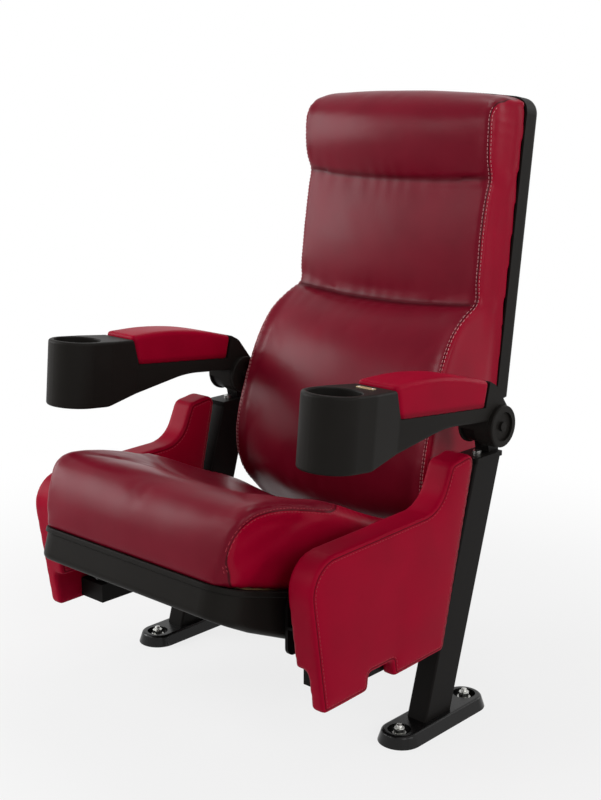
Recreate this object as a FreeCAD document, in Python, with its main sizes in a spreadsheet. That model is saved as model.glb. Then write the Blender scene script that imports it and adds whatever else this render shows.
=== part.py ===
import FreeCAD, Part
import math
import os
import Sketcher

# Auditorium rocker chair on two floor standards.
# Frame: the origin is on the floor at the middle of the four anchor holes, +Z is up,
# the sitter faces -Y, and +X is the sitter's left. Sizes are in millimetres and degrees.

SIZES = {
    # Standards
    "post_spacing": 610.0,
    "foot_length": 254.0,
    "foot_width": 77.0,
    "foot_height": 21.0,
    "foot_end_radius": 38.0,
    "foot_draft": 18.0,
    "foot_edge_radius": 6.0,
    "anchor_spacing": 184.0,
    "anchor_hole_radius": 6.5,
    "anchor_recess_radius": 20.0,
    "anchor_recess_floor": 13.0,
    "post_width": 40.0,
    "post_depth": 70.0,
    "post_wall": 4.0,
    "post_corner_radius": 4.0,
    "post_lean": 16.3,
    "post_floor_y": -16.6,
    "post_top": 452.0,
    "post_cap_thickness": 8.0,
    # Arm bracket on the post's top
    "bracket_width": 48.0,
    "bracket_plate": 8.0,
    "bracket_overhang": 4.0,
    "bracket_stem": 28.0,
    "bracket_screw_radius": 4.0,
    "bracket_screw_head": 7.5,
    "bracket_screw_head_height": 5.0,
    "hub_radius": 33.0,
    "hub_width": 28.0,
    "arm_pivot_y": 113.0,
    "arm_pivot_z": 514.0,
    "arm_pin_radius": 8.0,
    "arm_bush_radius": 11.0,
    # Armrest, from its pivot forward and up along the arm
    "arm_width": 82.0,
    "arm_tilt": 5.5,
    "arm_top": 80.0,
    "arm_pad_seat": 34.0,
    "arm_pad_front_top": 289.0,
    "arm_pad_front_bottom": 272.0,
    "arm_pad_rear_top": 38.5,
    "arm_pad_rear_bottom": 45.0,
    "arm_beam_under": 9.5,
    "arm_beam_bend": 150.0,
    "arm_taper_start": 275.0,
    "barrel_radius": 36.5,
    "barrel_inner": 18.0,
    "slot_clearance": 0.3,
    "slot_mouth": 3.0,
    "hub_clearance": 2.5,
    "hump_top": 70.0,
    "hump_radius": 30.0,
    "hump_rear": 14.0,
    "hump_rear_radius": 14.0,
    "arm_sweep_radius": 250.0,
    "arm_taper_radius": 40.0,
    "cup_heel": 39.0,
    "cup_heel_radius": 60.0,
    "cup_lip_radius": 2.5,
    "cup_distance": 384.0,
    "cup_outer_radius": 51.0,
    "cup_bore_radius": 41.5,
    "cup_bottom": 38.0,
    "cup_depth": 100.0,
    "cup_edge_radius": 5.0,
    "pad_crown": 8.0,
    "pad_end_height": 44.0,
    "pad_front_rise": 9.0,
    "pad_edge_radius": 9.0,
    "pad_nose_radius": 6.0,
    "pad_crown_radius": 700.0,
    "pad_gap": 0.3,
    "core_width": 30.0,
    "core_height": 9.0,
    "core_front": 258.0,
    "core_rear": 62.0,
    "pin_head_radius": 13.0,
    "pin_head_height": 8.0,
    "cap_radius": 36.0,
    "cap_height": 9.0,
    "cap_dish_radius": 25.0,
    "cap_dish_depth": 5.0,
    "cap_boss_radius": 8.0,
    "cap_edge_radius": 3.0,
    "plate_length": 34.0,
    "plate_width": 11.0,
    "plate_thickness": 2.0,
    "plate_distance": 312.0,
    # Side panels, from the standard's middle plane outward
    "panel_outer_face": 33.0,
    "panel_split": 6.0,
    "panel_inner_face": 19.0,
    "panel_front": -357.0,
    "panel_front_bottom": -319.0,
    "panel_rear_bottom": -17.0,
    "panel_bottom": 140.0,
    "panel_rear_rise": 8.0,
    "panel_shelf": 389.0,
    "panel_shelf_end": -37.0,
    "panel_top_front": -5.0,
    "panel_top_rear": 60.0,
    "panel_top": 470.0,
    "panel_top_rise": 10.0,
    "panel_nose_radius": 56.0,
    "panel_cove_radius": 58.0,
    "panel_crest_radius": 16.0,
    "panel_corner_radius": 8.0,
    "panel_edge_radius": 6.0,
    "panel_inner_bottom": 206.0,
    "notch_front": -214.0,
    "notch_rear": -148.0,
    "notch_top": 172.0,
    "notch_radius": 4.0,
    "panel_gap": 0.4,
    # Base arm, the channel that carries the rocker
    "base_arm_front": -270.0,
    "base_arm_bottom": 147.0,
    "base_arm_top": 181.0,
    "base_arm_inner": 55.0,
    "base_arm_wall": 4.0,
    "base_arm_tail": 48.0,
    "lug_inner": 58.5,
    "lug_outer": 27.0,
    "lug_radius": 20.0,
    "lug_foot": 44.0,
    "rocker_pivot_y": -130.0,
    "rocker_pivot_z": 214.0,
    "rocker_axle_radius": 8.0,
    "rocker_bush_radius": 12.0,
    "panel_screw_radius": 3.0,
    "panel_screw_length": 18.0,
    "panel_screw_head": 6.0,
    "panel_screw_head_height": 3.0,
    "panel_screw_front_y": -252.0,
    "panel_screw_rear_y": -60.0,
    # Rocker brackets, springs and buffers
    "rocker_bracket_inner": 71.5,
    "rocker_bracket_plate": 6.0,
    "rocker_flange_bottom": 244.0,
    "rocker_flange_outer": 23.0,
    "rocker_flange_plate": 5.0,
    "rocker_bracket_front": -295.0,
    "rocker_bracket_rear": 25.0,
    "rocker_bracket_bottom": 198.0,
    "rocker_bracket_nose": 296.0,
    "rocker_bracket_step": -175.0,
    "axle_collar_radius": 14.0,
    "axle_collar": 5.0,
    "axle_end": 24.5,
    "rocker_bolt_radius": 5.0,
    "rocker_bolt_head": 9.0,
    "rocker_bolt_head_height": 5.0,
    "spring_radius": 12.5,
    "spring_wire": 2.5,
    "spring_turns": 5,
    "spring_from_middle": 39.0,
    "front_spring_y": -248.0,
    "rear_spring_y": -12.0,
    "spring_seat_gap": 0.2,
    "buffer_radius": 9.0,
    "rest_buffer_y": -212.0,
    "recline_buffer_y": -62.0,
    "recline_angle": 12.0,
    "recline_buffer_gap": 1.5,
    "running_clearance": 0.05,
    "cut_margin": 50.0,
    # Seat, in a plane that falls towards the back
    "seat_front_y": -420.0,
    "seat_front_z": 343.0,
    "seat_fall": 17.0,
    "seat_length": 500.0,
    "pan_half_width": 229.0,
    "pan_wall": 4.0,
    "pan_front_radius": 48.0,
    "pan_rear_radius": 30.0,
    "pan_front_depth": 43.0,
    "pan_belly_depth": 98.0,
    "pan_belly_start": 80.0,
    "pan_belly_start_depth": 68.0,
    "pan_belly_end": 330.0,
    "pan_rear_depth": 62.0,
    "pan_belly_radius": 160.0,
    "pan_edge_radius": 12.0,
    "pan_rim": 4.0,
    "pan_rim_height": 9.0,
    "pan_rim_radius": 1.8,
    "frame_tube": 20.0,
    "frame_wall": 2.0,
    "frame_drop": 4.0,
    "frame_front": 40.0,
    "frame_rear": 484.0,
    "deck_thickness": 9.0,
    "deck_half_width": 205.0,
    "deck_vent_radius": 15.0,
    "seat_half_width": 228.0,
    "seat_height": 104.0,
    "seat_bolster": 14.0,
    "seat_rear_trim": 3.0,
    "frame_side_gap": 1.0,
    "frame_corner_radius": 40.0,
    "upright_slot_gap": 0.5,
    # Back, in a plane that leans back
    "back_lean": 7.2,
    "back_plane_y": 271.0,
    "back_plane_z": 515.0,
    "board_thickness": 10.0,
    "board_half_width": 205.0,
    "board_bottom": -160.0,
    "board_top": 492.0,
    "board_corner_radius": 40.0,
    "shell_half_width": 232.0,
    "shell_depth": 42.0,
    "shell_wall": 4.0,
    "shell_lip": -10.0,
    "shell_lip_height": 12.0,
    "shell_skirt_half_width": 214.0,
    "shell_bottom": -176.0,
    "shell_shoulder": 540.0,
    "shell_arch": 18.0,
    "shell_shoulder_radius": 30.0,
    "shell_skirt_radius": 36.0,
    "shell_edge_radius": 14.0,
    "shell_arch_radius": 2400.0,
    "upright_from_middle": 150.0,
    "upright_plate": 10.0,
    "upright_top": 440.0,
    "upright_heel": -324.0,
    "upright_foot_height": 34.0,
    "upright_toe": 25.0,
    "upright_bend_radius": 20.0,
    "upright_bolt_radius": 4.0,
    "upright_bolt_head": 8.0,
    "upright_bolt_head_height": 4.0,
    "back_half_width": 224.0,
    "back_top": 545.0,
    "back_gap": 0.3,
    "back_hem": -285.0,
    "lumbar_depth": 199.0,
    "middle_depth": 80.0,
    "head_depth": 92.0,
    "lumbar_seam": 171.0,
    "head_seam": 394.0,
    "tuck_depth": 10.0,
}


class Size:
    """A number together with the sheet expression that gives it."""

    def __init__(self, value, text):
        self.value = float(value)
        self.text = text

    def __add__(self, other):
        other = as_size(other)
        return Size(self.value + other.value, f"({self.text} + {other.text})")

    def __sub__(self, other):
        other = as_size(other)
        return Size(self.value - other.value, f"({self.text} - {other.text})")

    def __mul__(self, other):
        other = as_size(other)
        return Size(self.value * other.value, f"({self.text} * {other.text})")

    def __truediv__(self, other):
        other = as_size(other)
        return Size(self.value / other.value, f"({self.text} / {other.text})")

    def __rsub__(self, other):
        return as_size(other) - self

    def __neg__(self):
        return Size(-self.value, f"(0 - {self.text})")

    __radd__ = __add__
    __rmul__ = __mul__


def as_size(number):
    return number if isinstance(number, Size) else Size(number, f"({float(number)})")


def cosine(angle):
    return Size(math.cos(math.radians(angle.value)), f"cos({angle.text} * 1 deg)")


def sine(angle):
    return Size(math.sin(math.radians(angle.value)), f"sin({angle.text} * 1 deg)")


def tangent(angle):
    return Size(math.tan(math.radians(angle.value)), f"tan({angle.text} * 1 deg)")


def smaller(first, second):
    """The smaller of two sizes, for a rounding that its wall limits."""
    return Size(min(first.value, second.value), f"min({first.text}; {second.text})")


class Sheet:
    """The driving dimensions as spreadsheet cells, read back as Size values."""

    def __init__(self, doc):
        self.cells = doc.addObject("Spreadsheet::Sheet", "Sizes")
        for row, (alias, number) in enumerate(SIZES.items(), start=1):
            self.cells.set(f"A{row}", alias)
            self.cells.set(f"B{row}", str(number))
            self.cells.setAlias(f"B{row}", alias)
        doc.recompute()

    def __getattr__(self, alias):
        return Size(SIZES[alias], f"Sizes.{alias}")


doc = FreeCAD.newDocument("AuditoriumChair")
s = Sheet(doc)
nodes = []

LEFT = 1
RIGHT = -1
SIDE_NAMES = {LEFT: "left", RIGHT: "right"}

# Cushion proportions: how far the seat's sides draw in at the base, where its bolsters crest,
# how high its sides bulge, how they bow below and turn in above, and the roundness of the back's edges
SEAT_DRAW_IN = 8.0
SEAT_CREST_SHARE = 0.86
SEAT_SIDE_SHARE = 0.62
SEAT_SIDE_BOW = 0.2
SEAT_TURN_OUT = 0.7
SEAT_TURN_UP = 0.8
BACK_CORNER = 26.0

# Places of the rocker bolts and deck vents as shares of the seat's length, of the vents as shares
# of the deck's half width, and of the upright bolts as shares of the board's height
ROCKER_BOLT_SHARES = (0.31, 0.44, 0.76, 0.84)
DECK_VENTS_ALONG = (0.3, 0.5, 0.7)
DECK_VENTS_ACROSS = (-0.5, 0, 0.5)
UPRIGHT_BOLT_SHARES = (0.1, 0.45, 0.85)

# A half round stops this short of its full radius, which leaves a sketch line between its arcs
ROUND_SLACK = 0.2

# Height from which the arm pad's long edges are rolled, as a share of its end's height
PAD_ROLL_SHARE = 0.85

# Where the arm bracket's stem meets its hub, as a share of the hub's radius
HUB_STEM_SHARE = 0.94


def bind(target, prop, size):
    """Set a property to a size and tie it to the sheet."""
    size = as_size(size)
    if "." not in prop:
        setattr(target, prop, size.value)
    target.setExpression(prop, size.text)


def place(target, x, y, z, lean_back=None):
    """Put an object at a point, leaning back about the X axis."""
    angle = as_size(lean_back if lean_back is not None else 0)
    spot = FreeCAD.Vector(as_size(x).value, as_size(y).value, as_size(z).value)
    target.Placement = FreeCAD.Placement(spot, FreeCAD.Rotation(FreeCAD.Vector(-1, 0, 0), angle.value))
    for axis, size in zip("xyz", (x, y, z)):
        target.setExpression(f"Placement.Base.{axis}", as_size(size).text)
    if lean_back is not None:
        target.setExpression("Placement.Rotation.Angle", angle.text)


def new_body(label, x=0, y=0, z=0, lean_back=None):
    body = doc.addObject("PartDesign::Body", label)
    body.Label = label
    place(body, x, y, z, lean_back)
    nodes.append(body)
    return body


def new_sketch(body, plane, offset=0):
    """An empty sketch on one of the body's own planes, moved along its normal."""
    sketch = body.newObject("Sketcher::SketchObject", "Sketch")
    support = [item for item in body.Origin.OriginFeatures if item.Role == plane][0]
    sketch.AttachmentSupport = [(support, "")]
    sketch.MapMode = "FlatFace"
    shift = as_size(offset)
    sketch.AttachmentOffset = FreeCAD.Placement(FreeCAD.Vector(0, 0, shift.value), FreeCAD.Rotation())
    sketch.setExpression("AttachmentOffset.Base.z", shift.text)
    return sketch


def pin_point(sketch, geometry, position, u, v):
    """Hold a sketch point at u, v with two dimensions tied to the sheet."""
    for kind, size in (("DistanceX", as_size(u)), ("DistanceY", as_size(v))):
        index = sketch.addConstraint(Sketcher.Constraint(kind, -1, 1, geometry, position, size.value))
        sketch.setExpression(f"Constraints[{index}]", size.text)


def add_circle(sketch, u, v, radius):
    u, v, radius = as_size(u), as_size(v), as_size(radius)
    centre = FreeCAD.Vector(u.value, v.value, 0)
    index = sketch.addGeometry(Part.Circle(centre, FreeCAD.Vector(0, 0, 1), radius.value))
    pin_point(sketch, index, 3, u, v)
    held = sketch.addConstraint(Sketcher.Constraint("Radius", index, radius.value))
    sketch.setExpression(f"Constraints[{held}]", radius.text)


def add_outline(sketch, corners):
    """A closed outline through corners (u, v) or (u, v, radius): a radius rounds its corner."""
    corners = [tuple(as_size(number) for number in corner) for corner in corners]
    points = [FreeCAD.Vector(corner[0].value, corner[1].value, 0) for corner in corners]
    count = len(corners)
    marks = []
    for corner, point in zip(corners, points):
        mark = sketch.addGeometry(Part.Point(point), True)
        pin_point(sketch, mark, 1, corner[0], corner[1])
        marks.append(mark)
    entries, exits, arcs = [], [], []
    for i, corner in enumerate(corners):
        into = (points[i] - points[i - 1]).normalize()
        away = (points[(i + 1) % count] - points[i]).normalize()
        if len(corner) < 3:
            entries.append(points[i])
            exits.append(points[i])
            arcs.append(None)
            continue
        radius = corner[2].value
        turn = into.getAngle(away)
        left_turn = into.cross(away).z > 0
        setback = radius * math.tan(turn / 2)
        start = points[i] - into * setback
        end = points[i] + away * setback
        normal = FreeCAD.Vector(-into.y, into.x, 0) * (1 if left_turn else -1)
        centre = start + normal * radius
        first, last = (start, end) if left_turn else (end, start)
        from_angle = math.atan2(first.y - centre.y, first.x - centre.x)
        to_angle = math.atan2(last.y - centre.y, last.x - centre.x)
        if to_angle < from_angle:
            to_angle += 2 * math.pi
        circle = Part.Circle(centre, FreeCAD.Vector(0, 0, 1), radius)
        arc = sketch.addGeometry(Part.ArcOfCircle(circle, from_angle, to_angle))
        arcs.append((arc, 1 if left_turn else 2, 2 if left_turn else 1))
        entries.append(start)
        exits.append(end)
    lines = []
    for i in range(count):
        lines.append(sketch.addGeometry(Part.LineSegment(exits[i], entries[(i + 1) % count])))
    for i, corner in enumerate(corners):
        before, after = lines[i - 1], lines[i]
        if arcs[i] is None:
            sketch.addConstraint(Sketcher.Constraint("Coincident", before, 2, marks[i], 1))
            sketch.addConstraint(Sketcher.Constraint("Coincident", after, 1, marks[i], 1))
            continue
        arc, arc_start, arc_end = arcs[i]
        sketch.addConstraint(Sketcher.Constraint("PointOnObject", marks[i], 1, before))
        sketch.addConstraint(Sketcher.Constraint("PointOnObject", marks[i], 1, after))
        sketch.addConstraint(Sketcher.Constraint("Tangent", before, 2, arc, arc_start))
        sketch.addConstraint(Sketcher.Constraint("Tangent", arc, arc_end, after, 1))
        held = sketch.addConstraint(Sketcher.Constraint("Radius", arc, corner[2].value))
        sketch.setExpression(f"Constraints[{held}]", corner[2].text)


def outline_sketch(body, plane, corners, offset=0):
    sketch = new_sketch(body, plane, offset)
    add_outline(sketch, corners)
    return sketch


def circle_sketch(body, plane, circles, offset=0):
    sketch = new_sketch(body, plane, offset)
    for u, v, radius in circles:
        add_circle(sketch, u, v, radius)
    return sketch


def pad(body, sketch, length, symmetric=False, backward=False, taper=None):
    feature = body.newObject("PartDesign::Pad", "Pad")
    feature.Profile = sketch
    feature.SideType = "Symmetric" if symmetric else "One side"
    feature.Reversed = backward
    bind(feature, "Length", length)
    if taper is not None:
        bind(feature, "TaperAngle", taper)
    doc.recompute()
    return feature


def pocket(body, sketch, length=None, symmetric=False, backward=False):
    """Cut a sketch out of the body, and stop if the cut took nothing away."""
    before = body.Shape.Volume
    feature = body.newObject("PartDesign::Pocket", "Pocket")
    feature.Profile = sketch
    feature.SideType = "Symmetric" if symmetric else "One side"
    feature.Reversed = backward
    if length is None:
        feature.Type = "ThroughAll"
    else:
        bind(feature, "Length", length)
    doc.recompute()
    if feature.Shape.Volume >= before:
        raise RuntimeError(f"{body.Label}: a cut removed nothing")
    return feature


def edges_of(feature, keep):
    """Names of the feature's edges whose middle point passes the test."""
    names = []
    for number, edge in enumerate(feature.Shape.Edges, start=1):
        middle = edge.valueAt((edge.FirstParameter + edge.LastParameter) / 2)
        if keep(middle, edge):
            names.append(f"Edge{number}")
    return names


def fillet(body, base, radius, keep):
    feature = body.newObject("PartDesign::Fillet", "Fillet")
    feature.Base = (base, edges_of(base, keep))
    bind(feature, "Radius", radius)
    doc.recompute()
    return feature


def near(value, target, reach=0.05):
    return abs(value - target) < reach


def solid_feature(label, shape):
    """A sub-part whose shape is worked out here from the sheet's sizes."""
    item = doc.addObject("Part::Feature", label)
    item.Label = label
    item.Shape = shape
    item.Placement = FreeCAD.Placement()
    nodes.append(item)
    return item


def side_label(side, name):
    return f"{SIDE_NAMES[side]}_{name}"


# Standards


def post_y(z):
    """Y of the post's middle line at a height."""
    return s.post_floor_y + as_size(z) * tangent(s.post_lean)


def post_half_depth():
    """Half of the post's depth, measured level."""
    return s.post_depth / cosine(s.post_lean) / 2


def make_foot(side):
    body = new_body(side_label(side, "foot"), x=s.post_spacing / 2 * side)
    half_x, half_y = s.foot_width / 2, s.foot_length / 2
    radius = smaller(s.foot_end_radius, half_x - ROUND_SLACK)
    corners = [(-half_x, -half_y, radius), (half_x, -half_y, radius),
               (half_x, half_y, radius), (-half_x, half_y, radius)]
    base = pad(body, outline_sketch(body, "XY_Plane", corners), s.foot_height, taper=-s.foot_draft)
    base = fillet(body, base, s.foot_edge_radius, lambda m, e: near(m.z, s.foot_height.value))
    spots = [(0, s.anchor_spacing / 2 * end) for end in (-1, 1)]
    recesses = [(u, v, s.anchor_recess_radius) for u, v in spots]
    pocket(body, circle_sketch(body, "XY_Plane", recesses, s.foot_height),
           s.foot_height - s.anchor_recess_floor)
    holes = [(u, v, s.anchor_hole_radius) for u, v in spots]
    pocket(body, circle_sketch(body, "XY_Plane", holes, s.foot_height))


def post_profile(bottom, top, inset):
    """Side view of the leaning post between two heights, drawn in by a wall."""
    reach = post_half_depth() - as_size(inset) / cosine(s.post_lean)
    return [(post_y(bottom) - reach, bottom), (post_y(bottom) + reach, bottom),
            (post_y(top) + reach, top), (post_y(top) - reach, top)]


def bracket_screw_y():
    return s.arm_pivot_y - s.bracket_screw_head / 2


def make_post(side):
    body = new_body(side_label(side, "post"), x=s.post_spacing / 2 * side)
    solid = pad(body, outline_sketch(body, "YZ_Plane", post_profile(s.foot_height, s.post_top, 0)),
                s.post_width, symmetric=True)
    lean = math.radians(SIZES["post_lean"])

    def along_post(middle, edge):
        line = edge.tangentAt(edge.FirstParameter)
        return abs(abs(line.z) - math.cos(lean)) < 0.01 and abs(line.x) < 0.01

    fillet(body, solid, s.post_corner_radius, along_post)
    inner = post_profile(s.foot_height, s.post_top - s.post_cap_thickness, s.post_wall)
    pocket(body, outline_sketch(body, "YZ_Plane", inner), s.post_width - s.post_wall * 2, symmetric=True)
    hole = [(0, bracket_screw_y(), s.bracket_screw_radius + s.running_clearance)]
    pocket(body, circle_sketch(body, "XY_Plane", hole, s.post_top), s.post_cap_thickness)


def bracket_top():
    return s.post_top + s.bracket_plate


def make_arm_bracket(side):
    body = new_body(side_label(side, "arm_bracket"), x=s.post_spacing / 2 * side)
    half_x = s.bracket_width / 2
    front = post_y(s.post_top) - post_half_depth() - s.bracket_overhang
    rear = post_y(s.post_top) + post_half_depth()
    plate = [(-half_x, front, s.post_corner_radius), (half_x, front, s.post_corner_radius),
             (half_x, rear, s.post_corner_radius), (-half_x, rear, s.post_corner_radius)]
    pad(body, outline_sketch(body, "XY_Plane", plate, s.post_top), s.bracket_plate)
    stem = [(rear - s.bracket_stem, bracket_top()), (rear, bracket_top()),
            (s.arm_pivot_y + s.hub_radius * HUB_STEM_SHARE, s.arm_pivot_z), (s.arm_pivot_y, s.arm_pivot_z)]
    pad(body, outline_sketch(body, "YZ_Plane", stem), s.hub_width, symmetric=True)
    hub = [(s.arm_pivot_y, s.arm_pivot_z, s.hub_radius)]
    pad(body, circle_sketch(body, "YZ_Plane", hub), s.hub_width, symmetric=True)
    bore = [(s.arm_pivot_y, s.arm_pivot_z, s.arm_bush_radius + s.running_clearance)]
    pocket(body, circle_sketch(body, "YZ_Plane", bore), s.hub_width * 2, symmetric=True)
    hole = [(0, bracket_screw_y(), s.bracket_screw_radius + s.running_clearance)]
    pocket(body, circle_sketch(body, "XY_Plane", hole, bracket_top()), s.bracket_plate)


def turned(label, x, y, z, steps, toward):
    """A piece turned about a line along X: steps are (length, radius) from x on, towards a side."""
    body = new_body(label, x=x, y=y, z=z)
    start = as_size(0)
    for length, radius in steps:
        sketch = circle_sketch(body, "YZ_Plane", [(0, 0, radius)], start * toward)
        pad(body, sketch, length, backward=toward < 0)
        start = start + length
    return body


def bore_out(body, radius, length, toward):
    sketch = circle_sketch(body, "YZ_Plane", [(0, 0, radius)])
    pocket(body, sketch, length, backward=toward > 0)


def make_arm_bush(side):
    body = turned(side_label(side, "arm_bush"), s.post_spacing / 2 * side - s.hub_width / 2, s.arm_pivot_y,
                  s.arm_pivot_z, [(s.hub_width, s.arm_bush_radius)], LEFT)
    bore_out(body, s.arm_pin_radius + s.running_clearance, s.hub_width, LEFT)


def make_group(label, shapes):
    """Like pieces under one name: a compound of separate solids."""
    return solid_feature(label, Part.makeCompound(shapes))


def headed_pin(spot, axis, shank, length, head, head_height):
    """A screw: its shank runs from a spot along the axis, and its head stands behind that spot."""
    body = Part.makeCylinder(shank.value, length.value, spot, axis)
    top = Part.makeCylinder(head.value, head_height.value, spot, axis * -1)
    return body.fuse(top).removeSplitter()


def make_bracket_screws():
    shapes = []
    for side in (LEFT, RIGHT):
        spot = FreeCAD.Vector(side * s.post_spacing.value / 2, bracket_screw_y().value, bracket_top().value)
        shapes.append(headed_pin(spot, FreeCAD.Vector(0, 0, -1), s.bracket_screw_radius,
                                 s.bracket_plate + s.post_cap_thickness, s.bracket_screw_head,
                                 s.bracket_screw_head_height))
    make_group("bracket_screws", shapes)


# Side panels and the base arms that carry them


def panel_outline(bottom_corners):
    """Side view of a panel: the shelf under the arm, the cove and the crest at the post."""
    crest = [(s.panel_top_rear, s.panel_top + s.panel_top_rise, s.panel_crest_radius),
             (s.panel_top_front, s.panel_top, s.panel_crest_radius),
             (s.panel_shelf_end, s.panel_shelf + s.panel_top_rise, s.panel_cove_radius),
             (s.panel_front, s.panel_shelf, s.panel_nose_radius)]
    return bottom_corners + crest


def panel_front_y(z):
    """Y of the panel's front edge at a height below its nose."""
    share = (as_size(z) - s.panel_bottom) / (s.panel_shelf - s.panel_bottom)
    return s.panel_front_bottom + (s.panel_front - s.panel_front_bottom) * share


def panel_rear_y(z):
    base = s.panel_bottom + s.panel_rear_rise
    share = (as_size(z) - base) / (s.panel_top + s.panel_top_rise - base)
    return s.panel_rear_bottom + (s.panel_top_rear - s.panel_rear_bottom) * share


def panel_bottom_z(y):
    """Height of the panel's lower edge, which rises a little to the rear."""
    share = (as_size(y) - s.panel_front_bottom) / (s.panel_rear_bottom - s.panel_front_bottom)
    return s.panel_bottom + s.panel_rear_rise * share


def upholstered_pad(body, corners, start, length, toward, outer_at):
    """A padded layer: its outline pushed out from a plane, with its outer rim rounded."""
    sketch = outline_sketch(body, "YZ_Plane", corners, as_size(start) * toward)
    solid = pad(body, sketch, length, backward=toward < 0)
    fillet(body, solid, s.panel_edge_radius, lambda m, e: near(m.x, as_size(outer_at).value * toward))


def make_outer_panel(side):
    body = new_body(side_label(side, "outer_panel"), x=s.post_spacing / 2 * side)
    bottom = [(s.panel_front_bottom, s.panel_bottom, s.panel_corner_radius),
              (s.notch_front, panel_bottom_z(s.notch_front)),
              (s.notch_front + s.notch_radius, s.notch_top, s.notch_radius),
              (s.notch_rear - s.notch_radius, s.notch_top, s.notch_radius),
              (s.notch_rear, panel_bottom_z(s.notch_rear)),
              (s.panel_rear_bottom, s.panel_bottom + s.panel_rear_rise, s.panel_corner_radius)]
    upholstered_pad(body, panel_outline(bottom), s.panel_split, s.panel_outer_face - s.panel_split, side,
                    s.panel_outer_face)
    holes = [(y, panel_screw_z(), s.panel_screw_radius + s.running_clearance)
             for y in (s.panel_screw_front_y, s.panel_screw_rear_y)]
    sketch = circle_sketch(body, "YZ_Plane", holes, s.panel_split * side)
    pocket(body, sketch, s.panel_screw_length, backward=side > 0)


def make_inner_panel(side):
    body = new_body(side_label(side, "inner_panel"), x=s.post_spacing / 2 * side)
    bottom = [(panel_front_y(s.panel_inner_bottom), s.panel_inner_bottom, s.panel_corner_radius),
              (panel_rear_y(s.panel_inner_bottom), s.panel_inner_bottom, s.panel_corner_radius)]
    upholstered_pad(body, panel_outline(bottom), -s.panel_inner_face, s.panel_inner_face + s.panel_split, side,
                    -s.panel_inner_face)


def panel_screw_z():
    return (s.base_arm_bottom + s.base_arm_top) / 2


def make_panel_screws():
    shapes = []
    inside = s.panel_split - s.panel_gap - s.base_arm_wall
    for side in (LEFT, RIGHT):
        for y in (s.panel_screw_front_y, s.panel_screw_rear_y):
            spot = FreeCAD.Vector(side * (s.post_spacing / 2 + inside).value, y.value, panel_screw_z().value)
            shapes.append(headed_pin(spot, FreeCAD.Vector(side, 0, 0), s.panel_screw_radius,
                                     s.panel_screw_length, s.panel_screw_head, s.panel_screw_head_height))
    make_group("panel_screws", shapes)


def make_base_arm(side):
    """Channel, open below, with a tail beside the post and a lug for the rocker's axle."""
    body = new_body(side_label(side, "base_arm"), x=s.post_spacing / 2 * side)
    low, high = s.base_arm_bottom, s.base_arm_top
    outer = s.panel_split - s.panel_gap
    front_at = [post_y(z) - post_half_depth() for z in (low, high)]
    bar = [(s.base_arm_front, low), (front_at[0], low), (front_at[1], high), (s.base_arm_front, high)]
    sketch = outline_sketch(body, "YZ_Plane", bar, -s.base_arm_inner * side)
    pad(body, sketch, s.base_arm_inner + outer, backward=side < 0)
    tail = [(front_at[0], low), (front_at[0] + s.base_arm_tail, low), (front_at[1] + s.base_arm_tail, high),
            (front_at[1], high)]
    sketch = outline_sketch(body, "YZ_Plane", tail, -s.base_arm_inner * side)
    pad(body, sketch, s.base_arm_inner - s.post_width / 2, backward=side < 0)
    wall = s.base_arm_wall
    hollow = [(s.base_arm_front + wall, low), (front_at[0] - wall, low), (front_at[1] - wall, high - wall),
              (s.base_arm_front + wall, high - wall)]
    sketch = outline_sketch(body, "YZ_Plane", hollow, -(s.base_arm_inner - wall) * side)
    pocket(body, sketch, s.base_arm_inner + outer - wall * 2, backward=side > 0)
    lug = [(s.rocker_pivot_y - s.lug_foot, high), (s.rocker_pivot_y + s.lug_foot, high),
           (s.rocker_pivot_y + s.lug_radius, s.rocker_pivot_z + s.lug_radius, s.lug_radius - ROUND_SLACK),
           (s.rocker_pivot_y - s.lug_radius, s.rocker_pivot_z + s.lug_radius, s.lug_radius - ROUND_SLACK)]
    sketch = outline_sketch(body, "YZ_Plane", lug, -s.lug_inner * side)
    pad(body, sketch, s.lug_inner - s.lug_outer, backward=side < 0)
    bore = [(s.rocker_pivot_y, s.rocker_pivot_z, s.rocker_bush_radius + s.running_clearance)]
    sketch = circle_sketch(body, "YZ_Plane", bore, -s.lug_inner * side)
    pocket(body, sketch, s.lug_inner - s.lug_outer, backward=side > 0)
    holes = [(y, panel_screw_z(), s.panel_screw_radius + s.running_clearance)
             for y in (s.panel_screw_front_y, s.panel_screw_rear_y)]
    sketch = circle_sketch(body, "YZ_Plane", holes, (outer - wall) * side)
    pocket(body, sketch, wall, backward=side > 0)


def make_rocker_bush(side):
    x = (s.post_spacing / 2 - s.lug_inner) * side
    length = s.lug_inner - s.lug_outer
    body = turned(side_label(side, "rocker_bush"), x, s.rocker_pivot_y, s.rocker_pivot_z,
                  [(length, s.rocker_bush_radius)], side)
    bore_out(body, s.rocker_axle_radius + s.running_clearance, length, side)


# Rocker brackets, axles, springs and buffers


def rocker_bolt_spots():
    """Bolt places on the frame's side rail, which falls towards the back."""
    middle = -(s.frame_drop + s.frame_tube / 2)
    spots = []
    for share in ROCKER_BOLT_SHARES:
        along = s.seat_length * share
        spots.append((seat_y(along, middle), seat_z(along, middle)))
    return spots


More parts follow.
